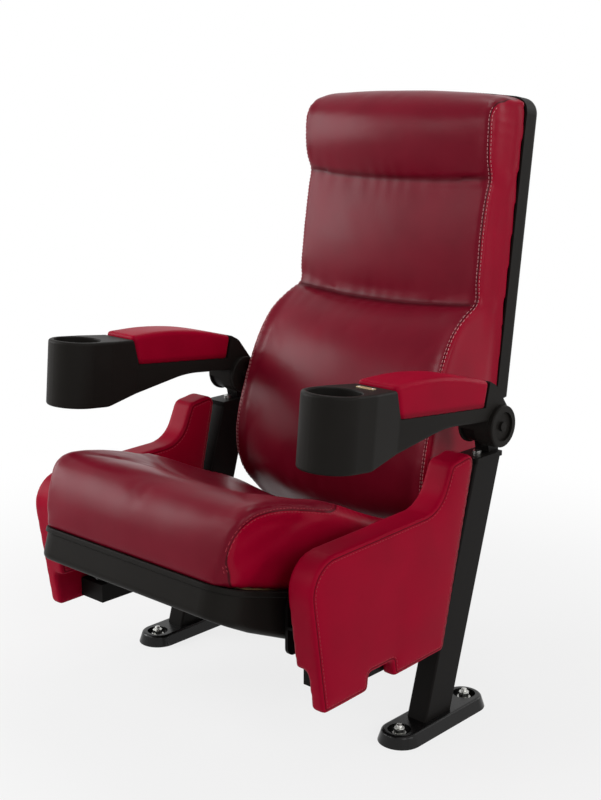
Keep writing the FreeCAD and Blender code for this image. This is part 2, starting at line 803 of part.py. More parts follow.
def make_rocker_bracket(side):
    """Angle: a plate beside the pan and a level flange over the springs."""
    body = new_body(side_label(side, "rocker_bracket"), x=s.post_spacing / 2 * side)
    top = s.rocker_flange_bottom + s.rocker_flange_plate
    web = [(s.rocker_bracket_front, s.rocker_bracket_bottom, s.axle_collar_radius),
           (s.rocker_bracket_rear, s.rocker_bracket_bottom, s.axle_collar_radius),
           (s.rocker_bracket_rear, top), (s.rocker_bracket_step, top),
           (s.rocker_bracket_step - s.lug_foot, s.rocker_bracket_nose, s.axle_collar_radius),
           (s.rocker_bracket_front, s.rocker_bracket_nose, s.axle_collar_radius)]
    sketch = outline_sketch(body, "YZ_Plane", web, -s.rocker_bracket_inner * side)
    pad(body, sketch, s.rocker_bracket_plate, backward=side < 0)
    flange = [(s.rocker_bracket_front, s.rocker_flange_bottom), (s.rocker_bracket_rear, s.rocker_flange_bottom),
              (s.rocker_bracket_rear, top), (s.rocker_bracket_front, top)]
    sketch = outline_sketch(body, "YZ_Plane", flange, -s.rocker_bracket_inner * side)
    pad(body, sketch, s.rocker_bracket_inner - s.rocker_flange_outer, backward=side < 0)
    holes = [(y, z, s.rocker_bolt_radius + s.running_clearance) for y, z in rocker_bolt_spots()]
    sketch = circle_sketch(body, "YZ_Plane", holes, -s.rocker_bracket_inner * side)
    pocket(body, sketch, s.rocker_bracket_plate, backward=side > 0)


def make_rocker_axle(side):
    start = s.rocker_bracket_inner - s.rocker_bracket_plate
    x = (s.post_spacing / 2 - start) * side
    turned(side_label(side, "rocker_axle"), x, s.rocker_pivot_y, s.rocker_pivot_z,
           [(s.axle_collar, s.axle_collar_radius), (start - s.axle_collar - s.axle_end, s.rocker_axle_radius)],
           side)


def make_rocker_bolts():
    shapes = []
    inner = s.post_spacing / 2 - s.rocker_bracket_inner + s.rocker_bracket_plate
    length = inner - s.pan_half_width + s.pan_wall + s.frame_tube / 2
    for side in (LEFT, RIGHT):
        for y, z in rocker_bolt_spots():
            spot = FreeCAD.Vector(side * inner.value, y.value, z.value)
            shapes.append(headed_pin(spot, FreeCAD.Vector(-side, 0, 0), s.rocker_bolt_radius, length,
                                     s.rocker_bolt_head, s.rocker_bolt_head_height))
    make_group("rocker_bolts", shapes)


def arc_from_tangent(start, direction, end):
    """The arc that leaves a point along a direction and ends at another point."""
    chord = end - start
    along = FreeCAD.Vector(chord).normalize()
    across = direction - along * direction.dot(along)
    if across.Length < 1e-9:
        return Part.LineSegment(start, end).toShape()
    bend = math.acos(max(-1.0, min(1.0, direction.dot(along))))
    middle = start + chord / 2 + across.normalize() * (chord.Length / 2 * math.tan(bend / 2))
    return Part.Arc(start, middle, end).toShape()


def biarc(start, start_way, end, end_way):
    """Two arcs that join two points and keep the directions there."""
    chord = end - start
    both = start_way + end_way
    spread = 2 * (1 - start_way.dot(end_way))
    reach = chord.dot(both)
    length = (math.sqrt(reach * reach + spread * chord.dot(chord)) - reach) / spread
    joint = (start + start_way * length + end - end_way * length) / 2
    second = arc_from_tangent(end, end_way * -1, joint)
    return [arc_from_tangent(start, start_way, joint), second]


def least_gap(path, turns):
    """Least distance between points of a coil's middle line that lie at least half a turn apart."""
    per_turn = 24
    points = path.discretize(Number=turns * per_turn)
    return min((points[i] - points[j]).Length
               for i in range(len(points)) for j in range(i + per_turn // 2, len(points)))


def spring_shape(x, y, low, high):
    """A coil of round wire between two heights, as a tube on quarter-turn biarcs."""
    radius, wire, turns = s.spring_radius.value, s.spring_wire.value, int(SIZES["spring_turns"])
    bottom, top = low + wire, high - wire
    climb = (top - bottom) / turns

    def at(turn):
        angle = 2 * math.pi * turn
        spot = FreeCAD.Vector(x + radius * math.cos(angle), y + radius * math.sin(angle), bottom + climb * turn)
        way = FreeCAD.Vector(-math.sin(angle) * radius, math.cos(angle) * radius, climb / (2 * math.pi))
        return spot, way.normalize()

    edges = []
    for quarter in range(turns * 4):
        start, start_way = at(quarter / 4)
        end, end_way = at((quarter + 1) / 4)
        edges += biarc(start, start_way, end, end_way)
    path = Part.Wire(Part.__sortEdges__(edges))
    first, first_way = at(0)
    section = Part.Wire(Part.makeCircle(wire, first, first_way))
    tube = path.makePipeShell([section], True, False)
    print(f"spring: least gap between curls {least_gap(path, turns) - 2 * wire:.2f} mm, volume {tube.Volume:.0f}")
    return tube


def make_springs(side):
    x = side * (s.post_spacing / 2 - s.spring_from_middle).value
    low = (s.base_arm_top + s.spring_seat_gap).value
    high = (s.rocker_flange_bottom - s.spring_seat_gap).value
    for name, y in (("front_spring", s.front_spring_y), ("rear_spring", s.rear_spring_y)):
        solid_feature(side_label(side, name), spring_shape(x, y.value, low, high))


def make_buffers():
    """Rubber posts: the seat rests on the front ones and meets the rear ones when rocked back."""
    recline = math.radians(SIZES["recline_angle"])
    drop = (s.rocker_flange_bottom - s.rocker_pivot_z).value
    reach = s.recline_buffer_y.value + s.buffer_radius.value - s.rocker_pivot_y.value
    along = (reach - drop * math.sin(recline)) / math.cos(recline)
    recline_top = s.rocker_pivot_z.value + drop * math.cos(recline) - along * math.sin(recline)
    tops = {"rest_buffers": (s.rest_buffer_y, s.rocker_flange_bottom.value),
            "recline_buffers": (s.recline_buffer_y, recline_top - s.recline_buffer_gap.value)}
    for label, (y, top) in tops.items():
        shapes = []
        for side in (LEFT, RIGHT):
            x = side * (s.post_spacing / 2 - s.spring_from_middle).value
            foot = FreeCAD.Vector(x, y.value, s.base_arm_top.value)
            shapes.append(Part.makeCylinder(s.buffer_radius.value, top - s.base_arm_top.value, foot))
        make_group(label, shapes)


# Seat: its local plane has +Y to the rear along the fall and +Z square to it


def seat_y(along, above):
    return s.seat_front_y + along * cosine(s.seat_fall) + as_size(above) * sine(s.seat_fall)


def seat_z(along, above):
    return s.seat_front_z - along * sine(s.seat_fall) + as_size(above) * cosine(s.seat_fall)


def seat_body(label):
    return new_body(label, y=s.seat_front_y, z=s.seat_front_z, lean_back=s.seat_fall)


def pan_plan(inset):
    """Plan of the pan, drawn in by a distance: round front corners, tighter rear ones."""
    half = s.pan_half_width - inset
    front, rear = as_size(inset), s.seat_length - inset
    return [(-half, front, s.pan_front_radius - inset), (half, front, s.pan_front_radius - inset),
            (half, rear, s.pan_rear_radius - inset), (-half, rear, s.pan_rear_radius - inset)]


def pan_below():
    """Everything under the pan's belly line, seen from the side."""
    deep = -(s.pan_belly_depth * 2)
    before = -s.cut_margin
    past = s.seat_length + s.cut_margin
    return [(before, deep), (past, deep), (past, -s.pan_rear_depth),
            (s.pan_belly_end, -s.pan_belly_depth, s.pan_belly_radius),
            (s.pan_belly_start, -s.pan_belly_start_depth, s.pan_belly_radius),
            (before, -s.pan_front_depth)]


def edge_stands(edge):
    """True for an edge square to the seat's plane."""
    return abs(edge.tangentAt(edge.FirstParameter).z) > 0.9


def faces_of(feature, keep):
    """Names of the feature's flat faces whose centre passes the test."""
    names = []
    for number, face in enumerate(feature.Shape.Faces, start=1):
        if isinstance(face.Surface, Part.Plane) and keep(face.CenterOfMass):
            names.append(f"Face{number}")
    return names


def hollow_out(body, base, wall, keep):
    """Leave a wall of even thickness, open at the faces that pass the test."""
    feature = body.newObject("PartDesign::Thickness", "Thickness")
    feature.Base = (base, faces_of(base, keep))
    feature.Reversed = True
    bind(feature, "Value", wall)
    doc.recompute()
    return feature


def make_seat_pan():
    """Moulded pan with a deep belly, a rolled rim and slots for the uprights."""
    body = seat_body("seat_pan")
    pad(body, outline_sketch(body, "XY_Plane", pan_plan(0)), s.pan_belly_depth + s.cut_margin, backward=True)
    cut = pocket(body, outline_sketch(body, "YZ_Plane", pan_below()), s.pan_half_width * 3, symmetric=True)
    lowest = -(s.pan_front_depth - s.pan_edge_radius).value
    round_rim = fillet(body, cut, s.pan_edge_radius,
                       lambda m, e: m.z < lowest and not edge_stands(e) and not edge_crosses(e))
    hollow_out(body, round_rim, s.pan_wall, lambda c: near(c.z, 0))
    rim = new_sketch(body, "XY_Plane", -s.pan_rim_height)
    add_outline(rim, pan_plan(-s.pan_rim))
    add_outline(rim, pan_plan(s.pan_wall / 2))
    rolled = pad(body, rim, s.pan_rim_height)
    fillet(body, rolled, s.pan_rim_radius,
           lambda m, e: rim_edge(m))
    middle = -(s.frame_drop + s.frame_tube / 2)
    holes = [(s.seat_length * share, middle, s.rocker_bolt_radius + s.running_clearance)
             for share in ROCKER_BOLT_SHARES]
    pocket(body, circle_sketch(body, "YZ_Plane", holes), s.pan_half_width * 3, symmetric=True)
    slots = new_sketch(body, "XZ_Plane", -(s.seat_length + s.cut_margin))
    for side in (LEFT, RIGHT):
        half = s.upright_plate / 2 + s.upright_slot_gap
        middle_x = s.upright_from_middle * side
        high = -(s.frame_drop - s.upright_slot_gap)
        low = -(s.frame_drop + s.upright_foot_height + s.upright_slot_gap)
        add_outline(slots, [(middle_x - half, low), (middle_x + half, low), (middle_x + half, high),
                            (middle_x - half, high)])
    pocket(body, slots, s.cut_margin + s.pan_wall * 2, backward=True)


def rim_edge(middle):
    """True on the outer upper and lower edges of the rolled rim."""
    out = abs(middle.x) > s.pan_half_width.value + 0.5
    ahead = middle.y < -0.5 or middle.y > s.seat_length.value + 0.5
    corner = math.hypot(abs(middle.x) - s.pan_half_width.value + s.pan_front_radius.value,
                        middle.y - s.pan_front_radius.value) > s.pan_front_radius.value + 0.5 \
        and middle.y < s.pan_front_radius.value
    rear_corner = math.hypot(abs(middle.x) - s.pan_half_width.value + s.pan_rear_radius.value,
                             middle.y - s.seat_length.value + s.pan_rear_radius.value) \
        > s.pan_rear_radius.value + 0.5 and middle.y > s.seat_length.value - s.pan_rear_radius.value
    return (out or ahead or corner or rear_corner) and middle.z > -s.pan_rim_height.value - 0.1


def edge_crosses(edge):
    """True for an edge that runs straight across the seat."""
    straight = isinstance(edge.Curve, Part.Line)
    return straight and abs(edge.tangentAt(edge.FirstParameter).x) > 0.9


def frame_plan(inset):
    half = s.pan_half_width - s.pan_wall - s.frame_side_gap - inset
    front, rear = s.frame_front + inset, s.frame_rear - inset
    radius = s.frame_corner_radius - inset
    return [(-half, front, radius), (half, front, radius), (half, rear, radius), (-half, rear, radius)]


def make_seat_frame():
    """Ring of pressed channel, open below, bolted to the rocker brackets."""
    body = seat_body("seat_frame")
    ring = new_sketch(body, "XY_Plane", -s.frame_drop)
    add_outline(ring, frame_plan(0))
    add_outline(ring, frame_plan(s.frame_tube))
    pad(body, ring, s.frame_tube, backward=True)
    groove = new_sketch(body, "XY_Plane", -(s.frame_drop + s.frame_tube))
    add_outline(groove, frame_plan(s.frame_wall))
    add_outline(groove, frame_plan(s.frame_tube - s.frame_wall))
    pocket(body, groove, s.frame_tube - s.frame_wall, backward=True)
    middle = -(s.frame_drop + s.frame_tube / 2)
    holes = [(s.seat_length * share, middle, s.rocker_bolt_radius + s.running_clearance)
             for share in ROCKER_BOLT_SHARES]
    pocket(body, circle_sketch(body, "YZ_Plane", holes), s.pan_half_width * 3, symmetric=True)


def deck_top():
    return s.deck_thickness - s.frame_drop


def make_seat_deck():
    """Board on the frame, with two rows of vent holes."""
    body = seat_body("seat_deck")
    half, radius = s.deck_half_width, s.frame_corner_radius
    front, rear = s.frame_front + s.pan_wall, s.frame_rear - s.pan_wall
    corners = [(-half, front, radius), (half, front, radius), (half, rear, radius), (-half, rear, radius)]
    pad(body, outline_sketch(body, "XY_Plane", corners, -s.frame_drop), s.deck_thickness)
    vents = [(s.deck_half_width * across, s.seat_length * along, s.deck_vent_radius)
             for across in DECK_VENTS_ACROSS for along in DECK_VENTS_ALONG]
    pocket(body, circle_sketch(body, "XY_Plane", vents, deck_top()), s.deck_thickness * 2)


def arc_edge(start, middle, end):
    return Part.Arc(start, middle, end).toShape()


def seat_section(along, half, crest, middle):
    """Section across the cushion: flat base, drawn-in sides, raised bolsters, dished middle."""
    base = (deck_top() + s.back_gap).value
    foot = half - SEAT_DRAW_IN
    shoulder_x = half * SEAT_CREST_SHARE
    side_z = base + (crest - base) * SEAT_SIDE_SHARE

    def spot(x, z):
        return FreeCAD.Vector(x, along, z)

    edges = [Part.makeLine(spot(-foot, base), spot(foot, base))]
    right = [spot(foot, base), spot(half - SEAT_DRAW_IN * SEAT_SIDE_BOW, (base + side_z) / 2), spot(half, side_z)]
    turn_x = shoulder_x + (half - shoulder_x) * SEAT_TURN_OUT
    turn_z = side_z + (crest - side_z) * SEAT_TURN_UP
    edges.append(arc_edge(*right))
    edges.append(arc_edge(spot(half, side_z), spot(turn_x, turn_z), spot(shoulder_x, crest)))
    edges.append(arc_edge(spot(shoulder_x, crest), spot(0, middle), spot(-shoulder_x, crest)))
    edges.append(arc_edge(spot(-shoulder_x, crest), spot(-turn_x, turn_z), spot(-half, side_z)))
    edges.append(arc_edge(spot(-half, side_z), spot(-right[1].x, right[1].z), spot(-foot, base)))
    return Part.Wire(edges)


def make_seat_cushion():
    """Sections from the front to the rear; crown and bolsters rise behind the front roll and fall again."""
    half, crown, dish = s.seat_half_width.value, s.seat_height.value, s.seat_bolster.value
    rear = (s.seat_length - s.seat_rear_trim).value
    sections = [seat_section(along=-8, half=half - 34, crest=crown - 24, middle=crown - 22),
                seat_section(along=0, half=half - 13, crest=crown + 2, middle=crown + 4),
                seat_section(along=16, half=half - 3, crest=crown + 20, middle=crown + 23),
                seat_section(along=54, half=half + 1, crest=crown + 34, middle=crown + 33 - dish * 0.6),
                seat_section(along=rear * 0.27, half=half + 2, crest=crown + 41, middle=crown + 41 - dish * 1.4),
                seat_section(along=rear * 0.47, half=half + 2, crest=crown + 38, middle=crown + 38 - dish * 1.7),
                seat_section(along=rear * 0.72, half=half, crest=crown + 22, middle=crown + 22 - dish * 1.4),
                seat_section(along=rear - 38, half=half - 2, crest=crown + 8, middle=crown + 8 - dish),
                seat_section(along=rear - 10, half=half - 10, crest=crown - 6, middle=crown - 6 - dish * 0.5),
                seat_section(along=rear, half=half - 26, crest=crown - 22, middle=crown - 22 - dish * 0.3)]
    shape = Part.makeLoft(sections, True, False)
    item = solid_feature("seat_cushion", shape)
    place(item, 0, s.seat_front_y, s.seat_front_z, s.seat_fall)


# Back: its local frame has +Y to the rear, square to the board, and +Z up along it


def back_body(label):
    return new_body(label, y=s.back_plane_y, z=s.back_plane_z, lean_back=s.back_lean)


def upright_bolt_spots():
    return [(s.upright_from_middle * side, s.board_bottom + (s.board_top - s.board_bottom) * share)
            for side in (LEFT, RIGHT) for share in UPRIGHT_BOLT_SHARES]


def make_back_board():
    body = back_body("back_board")
    half, radius = s.board_half_width, s.board_corner_radius
    corners = [(-half, s.board_bottom, radius), (half, s.board_bottom, radius),
               (half, s.board_top, radius), (-half, s.board_top, radius)]
    pad(body, outline_sketch(body, "XZ_Plane", corners), s.board_thickness, backward=True)
    holes = [(x, z, s.upright_bolt_radius + s.running_clearance) for x, z in upright_bolt_spots()]
    pocket(body, circle_sketch(body, "XZ_Plane", holes), s.board_thickness)
    sinks = [(x, z, s.upright_bolt_head + s.running_clearance) for x, z in upright_bolt_spots()]
    pocket(body, circle_sketch(body, "XZ_Plane", sinks), s.upright_bolt_head_height)


def make_back_shell():
    """Moulded rear shell: arched top, side lips, narrower skirt, open towards the cushion and below."""
    body = back_body("back_shell")
    wide, narrow = s.shell_half_width, s.shell_skirt_half_width
    lip_top = s.shell_lip + s.shell_lip_height
    corners = [(-narrow, s.shell_bottom, s.shell_skirt_radius), (narrow, s.shell_bottom, s.shell_skirt_radius),
               (narrow, s.shell_lip), (wide, lip_top),
               (wide, s.shell_shoulder, s.shell_shoulder_radius),
               (0, s.shell_shoulder + s.shell_arch, s.shell_arch_radius),
               (-wide, s.shell_shoulder, s.shell_shoulder_radius),
               (-wide, lip_top), (-narrow, s.shell_lip)]
    solid = pad(body, outline_sketch(body, "XZ_Plane", corners), s.shell_depth, backward=True)
    rounded = fillet(body, solid, s.shell_edge_radius, lambda m, e: near(m.y, s.shell_depth.value))
    hollow_out(body, rounded, s.shell_wall, lambda c: near(c.y, 0))
    slots = new_sketch(body, "XY_Plane", s.shell_bottom)
    half = s.upright_plate / 2 + s.upright_slot_gap
    for side in (LEFT, RIGHT):
        middle = s.upright_from_middle * side
        rear = s.shell_depth - s.shell_wall
        add_outline(slots, [(middle - half, -s.shell_wall), (middle + half, -s.shell_wall),
                            (middle + half, rear), (middle - half, rear)])
    pocket(body, slots, s.shell_edge_radius, backward=True)


def back_place(depth, up):
    """A point beside the board plane, in the chair's Y and Z."""
    depth, up = as_size(depth), as_size(up)
    y = s.back_plane_y + depth * cosine(s.back_lean) + up * sine(s.back_lean)
    z = s.back_plane_z - depth * sine(s.back_lean) + up * cosine(s.back_lean)
    return y, z


def make_upright(side):
    """Cranked plate: its foot meets the seat frame and its leg stands between board and shell."""
    body = new_body(side_label(side, "upright"), x=s.upright_from_middle * side)
    front, rear = s.board_thickness, s.shell_depth - s.shell_wall
    top, under = -s.frame_drop, -(s.frame_drop + s.upright_foot_height)
    toe = s.seat_length + s.upright_toe
    radius = s.upright_bend_radius
    corners = [(seat_y(s.frame_rear, under), seat_z(s.frame_rear, under)),
               (seat_y(toe, under), seat_z(toe, under), radius),
               (*back_place(rear, s.upright_heel), radius),
               back_place(rear, s.upright_top),
               back_place(front, s.upright_top),
               (*back_place(front, s.upright_heel + s.upright_foot_height), radius),
               (seat_y(toe, top), seat_z(toe, top), radius),
               (seat_y(s.frame_rear, top), seat_z(s.frame_rear, top))]
    pad(body, outline_sketch(body, "YZ_Plane", corners), s.upright_plate, symmetric=True)


def make_upright_bolts():
    shapes = []
    for x, up in upright_bolt_spots():
        y, z = back_place(s.upright_bolt_head_height, up)
        way_y, way_z = cosine(s.back_lean).value, -sine(s.back_lean).value
        spot = FreeCAD.Vector(x.value, y.value, z.value)
        length = s.board_thickness - s.upright_bolt_head_height
        shapes.append(headed_pin(spot, FreeCAD.Vector(0, way_y, way_z), s.upright_bolt_radius, length,
                                 s.upright_bolt_head, s.upright_bolt_head_height))
    make_group("upright_bolts", shapes)


def back_section(up, half, side, middle):
    """Section across the back cushion: flat at the board, straight gussets, crowned front."""
    rear = -s.back_gap.value
    corner = min(BACK_CORNER, side / 2)

    def spot(x, depth):
        return FreeCAD.Vector(x, -depth, up)

    bend = corner * math.sqrt(0.5)
    right = [spot(half, side - corner), spot(half - corner + bend, side - corner + bend),
             spot(half - corner, side)]
    left = [FreeCAD.Vector(-point.x, point.y, point.z) for point in right]
    edges = [Part.makeLine(spot(-half, -rear), spot(half, -rear)),
             Part.makeLine(spot(half, -rear), right[0]),
             arc_edge(*right),
             arc_edge(right[2], spot(0, middle), left[2]),
             arc_edge(left[2], left[1], left[0]),
             Part.makeLine(left[0], spot(-half, -rear))]
    return Part.Wire(edges)


def make_back_cushion():
    """Lumbar roll, middle panel and head roll, which meet in tucks at the two seams.

    In each section, side is the depth at the side seams and middle that halfway between them.
    """
    half, top = s.back_half_width.value, s.back_top.value
    lumbar, head, flat = s.lumbar_depth.value, s.head_depth.value, s.middle_depth.value
    low_seam, high_seam, tuck = s.lumbar_seam.value, s.head_seam.value, s.tuck_depth.value
    hem = s.back_hem.value
    low_tuck = back_section(up=low_seam, half=half - 4, side=flat - tuck, middle=flat - tuck + 4)
    high_tuck = back_section(up=high_seam, half=half - 4, side=head - tuck * 2, middle=head - tuck * 2 + 4)
    lumbar_roll = [back_section(up=hem, half=half - 34, side=lumbar - 104, middle=lumbar - 92),
                   back_section(up=hem + 23, half=half - 14, side=lumbar - 74, middle=lumbar - 58),
                   back_section(up=hem + 47, half=half - 3, side=lumbar - 50, middle=lumbar - 36),
                   back_section(up=hem + 80, half=half + 4, side=lumbar - 22, middle=lumbar),
                   back_section(up=hem + 165, half=half + 11, side=lumbar, middle=lumbar + 28),
                   back_section(up=hem + 265, half=half + 9, side=lumbar - 12, middle=lumbar + 17),
                   back_section(up=low_seam - 103, half=half + 5, side=lumbar - 35, middle=lumbar - 7),
                   back_section(up=low_seam - 48, half=half + 1, side=lumbar - 64, middle=lumbar - 38),
                   back_section(up=low_seam - 17, half=half - 2, side=lumbar - 94, middle=lumbar - 72),
                   low_tuck]
    middle_panel = [low_tuck,
                    back_section(up=low_seam + 14, half=half - 4, side=flat - 4, middle=flat + 3),
                    back_section(up=low_seam + 48, half=half - 4, side=flat, middle=flat + 10),
                    back_section(up=low_seam + 115, half=half - 5, side=flat + 1, middle=flat + 13),
                    back_section(up=high_seam - 50, half=half - 5, side=flat - 1, middle=flat + 9),
                    back_section(up=high_seam - 14, half=half - 4, side=flat - 5, middle=flat + 2),
                    high_tuck]
    head_roll = [high_tuck,
                 back_section(up=high_seam + 10, half=half - 2, side=head - 13, middle=head - 3),
                 back_section(up=high_seam + 30, half=half - 1, side=head - 4, middle=head + 11),
                 back_section(up=high_seam + 75, half=half, side=head + 3, middle=head + 23),
                 back_section(up=top - 38, half=half - 2, side=head + 1, middle=head + 17),
                 back_section(up=top - 12, half=half - 14, side=head - 16, middle=head),
                 back_section(up=top, half=half - 36, side=head - 38, middle=head - 24)]
    rolls = [Part.makeLoft(sections, True, False) for sections in (lumbar_roll, middle_panel, head_roll)]
    shape = rolls[0].fuse(rolls[1:]).removeSplitter()
    item = solid_feature("back_cushion", shape)
    place(item, 0, s.back_plane_y, s.back_plane_z, s.back_lean)


# Armrests: their local frame has its origin on the pivot, +Z up from the tilted arm and -Y forward


def arm_body(label, side):
    return new_body(label, x=s.post_spacing / 2 * side, y=s.arm_pivot_y, z=s.arm_pivot_z, lean_back=s.arm_tilt)


def arm_profile():
    """Side view of the arm: cup, pad seat, hump, barrel and the sweep under the beam."""
    barrel, front = s.barrel_radius, -(s.cup_distance + s.cup_outer_radius)
    barrel_round = barrel - ROUND_SLACK
    return [(front, -s.cup_bottom),
            (-(s.cup_distance - s.cup_heel), -s.cup_bottom, s.cup_heel_radius),
            (-s.arm_beam_bend, s.arm_beam_under, s.arm_sweep_radius),
            (-barrel, s.arm_beam_under),
            (-barrel, -barrel, barrel_round), (barrel, -barrel, barrel_round),
            (barrel, s.hump_rear, s.hump_rear_radius),
            (-barrel / 2, s.hump_top, s.hump_radius),
            (-s.arm_pad_rear_top, s.arm_pad_seat + s.pad_end_height),
            (-s.arm_pad_rear_bottom, s.arm_pad_seat),
            (-s.arm_pad_front_bottom, s.arm_pad_seat),
            (-s.arm_pad_front_top, s.arm_top),
            (front, s.arm_top)]


def arm_plan():
    """Plan of the arm: straight at the pad, swelling to the round cup."""
    half, cup, end = s.arm_width / 2, s.cup_outer_radius, s.cup_distance + s.cup_outer_radius
    cup_round = cup - ROUND_SLACK
    rear = s.barrel_radius * 2
    return [(-half, rear), (-half, -s.arm_taper_start, s.arm_taper_radius),
            (-cup, -(s.cup_distance - s.cup_heel), s.arm_taper_radius), (-cup, -end, cup_round),
            (cup, -end, cup_round), (cup, -(s.cup_distance - s.cup_heel), s.arm_taper_radius),
            (half, -s.arm_taper_start, s.arm_taper_radius), (half, rear)]


def make_arm(side):
    body = arm_body(side_label(side, "arm"), side)
    pad(body, outline_sketch(body, "YZ_Plane", arm_profile()), s.cup_outer_radius * 2, symmetric=True)
    around = new_sketch(body, "XY_Plane", s.arm_top * 2)
    far, end = s.cup_outer_radius * 2, s.cup_distance + s.cup_outer_radius
    add_outline(around, [(-far, -(end + s.cut_margin)), (far, -(end + s.cut_margin)), (far, far), (-far, far)])
    add_outline(around, arm_plan())
    shaped = pocket(body, around, s.arm_top * 6)
    soft = fillet(body, shaped, s.cup_edge_radius, lambda m, e: cup_rim(m))
    bore = [(0, -s.cup_distance, s.cup_bore_radius)]
    cup = pocket(body, circle_sketch(body, "XY_Plane", bore, s.arm_top), s.cup_depth)
    mouth = s.cup_bore_radius.value
    fillet(body, cup, s.cup_lip_radius,
           lambda m, e: near(m.z, s.arm_top.value) and near(math.hypot(m.x, m.y + s.cup_distance.value), mouth))
    gap = s.slot_clearance
    reach = s.hub_radius + s.hub_clearance
    past = s.barrel_radius + s.cut_margin
    slot = [(-reach, -past), (past, -past), (past, past), (s.slot_mouth, past),
            (s.slot_mouth, reach), (-reach, reach, reach - ROUND_SLACK)]
    pocket(body, outline_sketch(body, "YZ_Plane", slot), s.hub_width + gap * 2, symmetric=True)
    hole = [(0, 0, s.arm_pin_radius + s.running_clearance)]
    pocket(body, circle_sketch(body, "YZ_Plane", hole), s.arm_width * 2, symmetric=True)
    sink = [(0, 0, s.pin_head_radius + s.running_clearance)]
    pocket(body, circle_sketch(body, "YZ_Plane", sink, s.arm_width / 2), s.pin_head_height)
    inner = s.cup_outer_radius - s.barrel_inner
    beside = [(-s.barrel_radius - gap, -past), (past, -past), (past, s.arm_beam_under),
              (-s.barrel_radius - gap, s.arm_beam_under)]
    pocket(body, outline_sketch(body, "YZ_Plane", beside, -s.barrel_inner), inner)
    half = s.core_width / 2 + gap
    trench = [(-half, -s.core_front - gap), (half, -s.core_front - gap), (half, -s.core_rear + gap),
              (-half, -s.core_rear + gap)]
    pocket(body, outline_sketch(body, "XY_Plane", trench, s.arm_pad_seat), s.core_height)
    if side == LEFT:
        pocket(body, outline_sketch(body, "XY_Plane", plate_plan(gap / 2), s.arm_top), s.plate_thickness / 2)


def cup_rim(middle):
    """True on the upper and lower outer edges of the cup and its neck."""
    ahead = middle.y < -s.arm_pad_front_top.value - 1
    return ahead and (near(middle.z, s.arm_top.value) or near(middle.z, -s.cup_bottom.value))


def plate_plan(grow):
    """Plan of the seat number plate between cup and pad."""
    half_x, half_y = s.plate_length / 2 + grow, s.plate_width / 2 + grow
    middle = -s.plate_distance
    radius = s.plate_width / 4
    return [(-half_x, middle - half_y, radius), (half_x, middle - half_y, radius),
            (half_x, middle + half_y, radius), (-half_x, middle + half_y, radius)]


def make_number_plate():
    body = arm_body("number_plate", LEFT)
    sketch = outline_sketch(body, "XY_Plane", plate_plan(0), s.arm_top - s.plate_thickness / 2)
    pad(body, sketch, s.plate_thickness)


def make_arm_core(side):
    body = arm_body(side_label(side, "arm_core"), side)
    half = s.core_width / 2
    bar = [(-half, -s.core_front), (half, -s.core_front), (half, -s.core_rear), (-half, -s.core_rear)]
    low = s.arm_pad_seat - s.core_height
    pad(body, outline_sketch(body, "XY_Plane", bar, low), s.core_height)


def make_arm_pad(side):
    """Padded rest: slanted ends, crowned top, rolled long edges."""
    body = arm_body(side_label(side, "arm_pad"), side)
    gap = s.pad_gap
    rear_top = s.arm_pad_seat + s.pad_end_height
    front_top = rear_top + s.pad_front_rise
    middle_y = -(s.arm_pad_front_top + s.arm_pad_rear_top) / 2
    middle_z = (rear_top + front_top) / 2 + s.pad_crown * 2
    corners = [(-s.arm_pad_front_bottom + gap, s.arm_pad_seat), (-s.arm_pad_rear_bottom - gap, s.arm_pad_seat),
               (-s.arm_pad_rear_top - gap, rear_top, s.pad_nose_radius),
               (middle_y, middle_z, s.pad_crown_radius),
               (-s.arm_pad_front_top + gap, front_top, s.pad_nose_radius)]
    block = pad(body, outline_sketch(body, "YZ_Plane", corners), s.arm_width, symmetric=True)
    half = s.arm_width.value / 2
    above = (s.arm_pad_seat + s.pad_end_height * PAD_ROLL_SHARE).value
    fillet(body, block, s.pad_edge_radius,
           lambda m, e: near(abs(m.x), half) and m.z > above)


def make_arm_pin(side):
    length = s.barrel_inner + s.arm_width / 2 - s.pin_head_height
    turned(side_label(side, "arm_pin"), s.post_spacing / 2 * side - s.barrel_inner, s.arm_pivot_y,
           s.arm_pivot_z, [(length, s.arm_pin_radius), (s.pin_head_height, s.pin_head_radius)], LEFT)


def make_pivot_cap(side):
    """Round cap with a raised ring, a dish and a small boss."""
    body = turned(side_label(side, "pivot_cap"), s.post_spacing / 2 * side + s.arm_width / 2, s.arm_pivot_y,
                  s.arm_pivot_z, [(s.cap_height, s.cap_radius)], LEFT)
    face = s.cap_height.value
    fillet(body, body.Tip, s.cap_edge_radius, lambda m, e: near(m.x, face))
    ring = new_sketch(body, "YZ_Plane", s.cap_height)
    add_circle(ring, 0, 0, s.cap_dish_radius)
    add_circle(ring, 0, 0, s.cap_boss_radius)
    pocket(body, ring, s.cap_dish_depth)


def check_document():
    """Stop if any object failed or any sub-part has no sound shape."""
    for item in doc.Objects:
        if "Invalid" in item.State or "Error" in item.State:
            raise RuntimeError(f"{item.Label} failed: {item.State}")
    for item in nodes:
        if item.Shape.isNull() or not item.Shape.isValid() or not item.Shape.Solids:
            raise RuntimeError(f"{item.Label} has no sound shape")


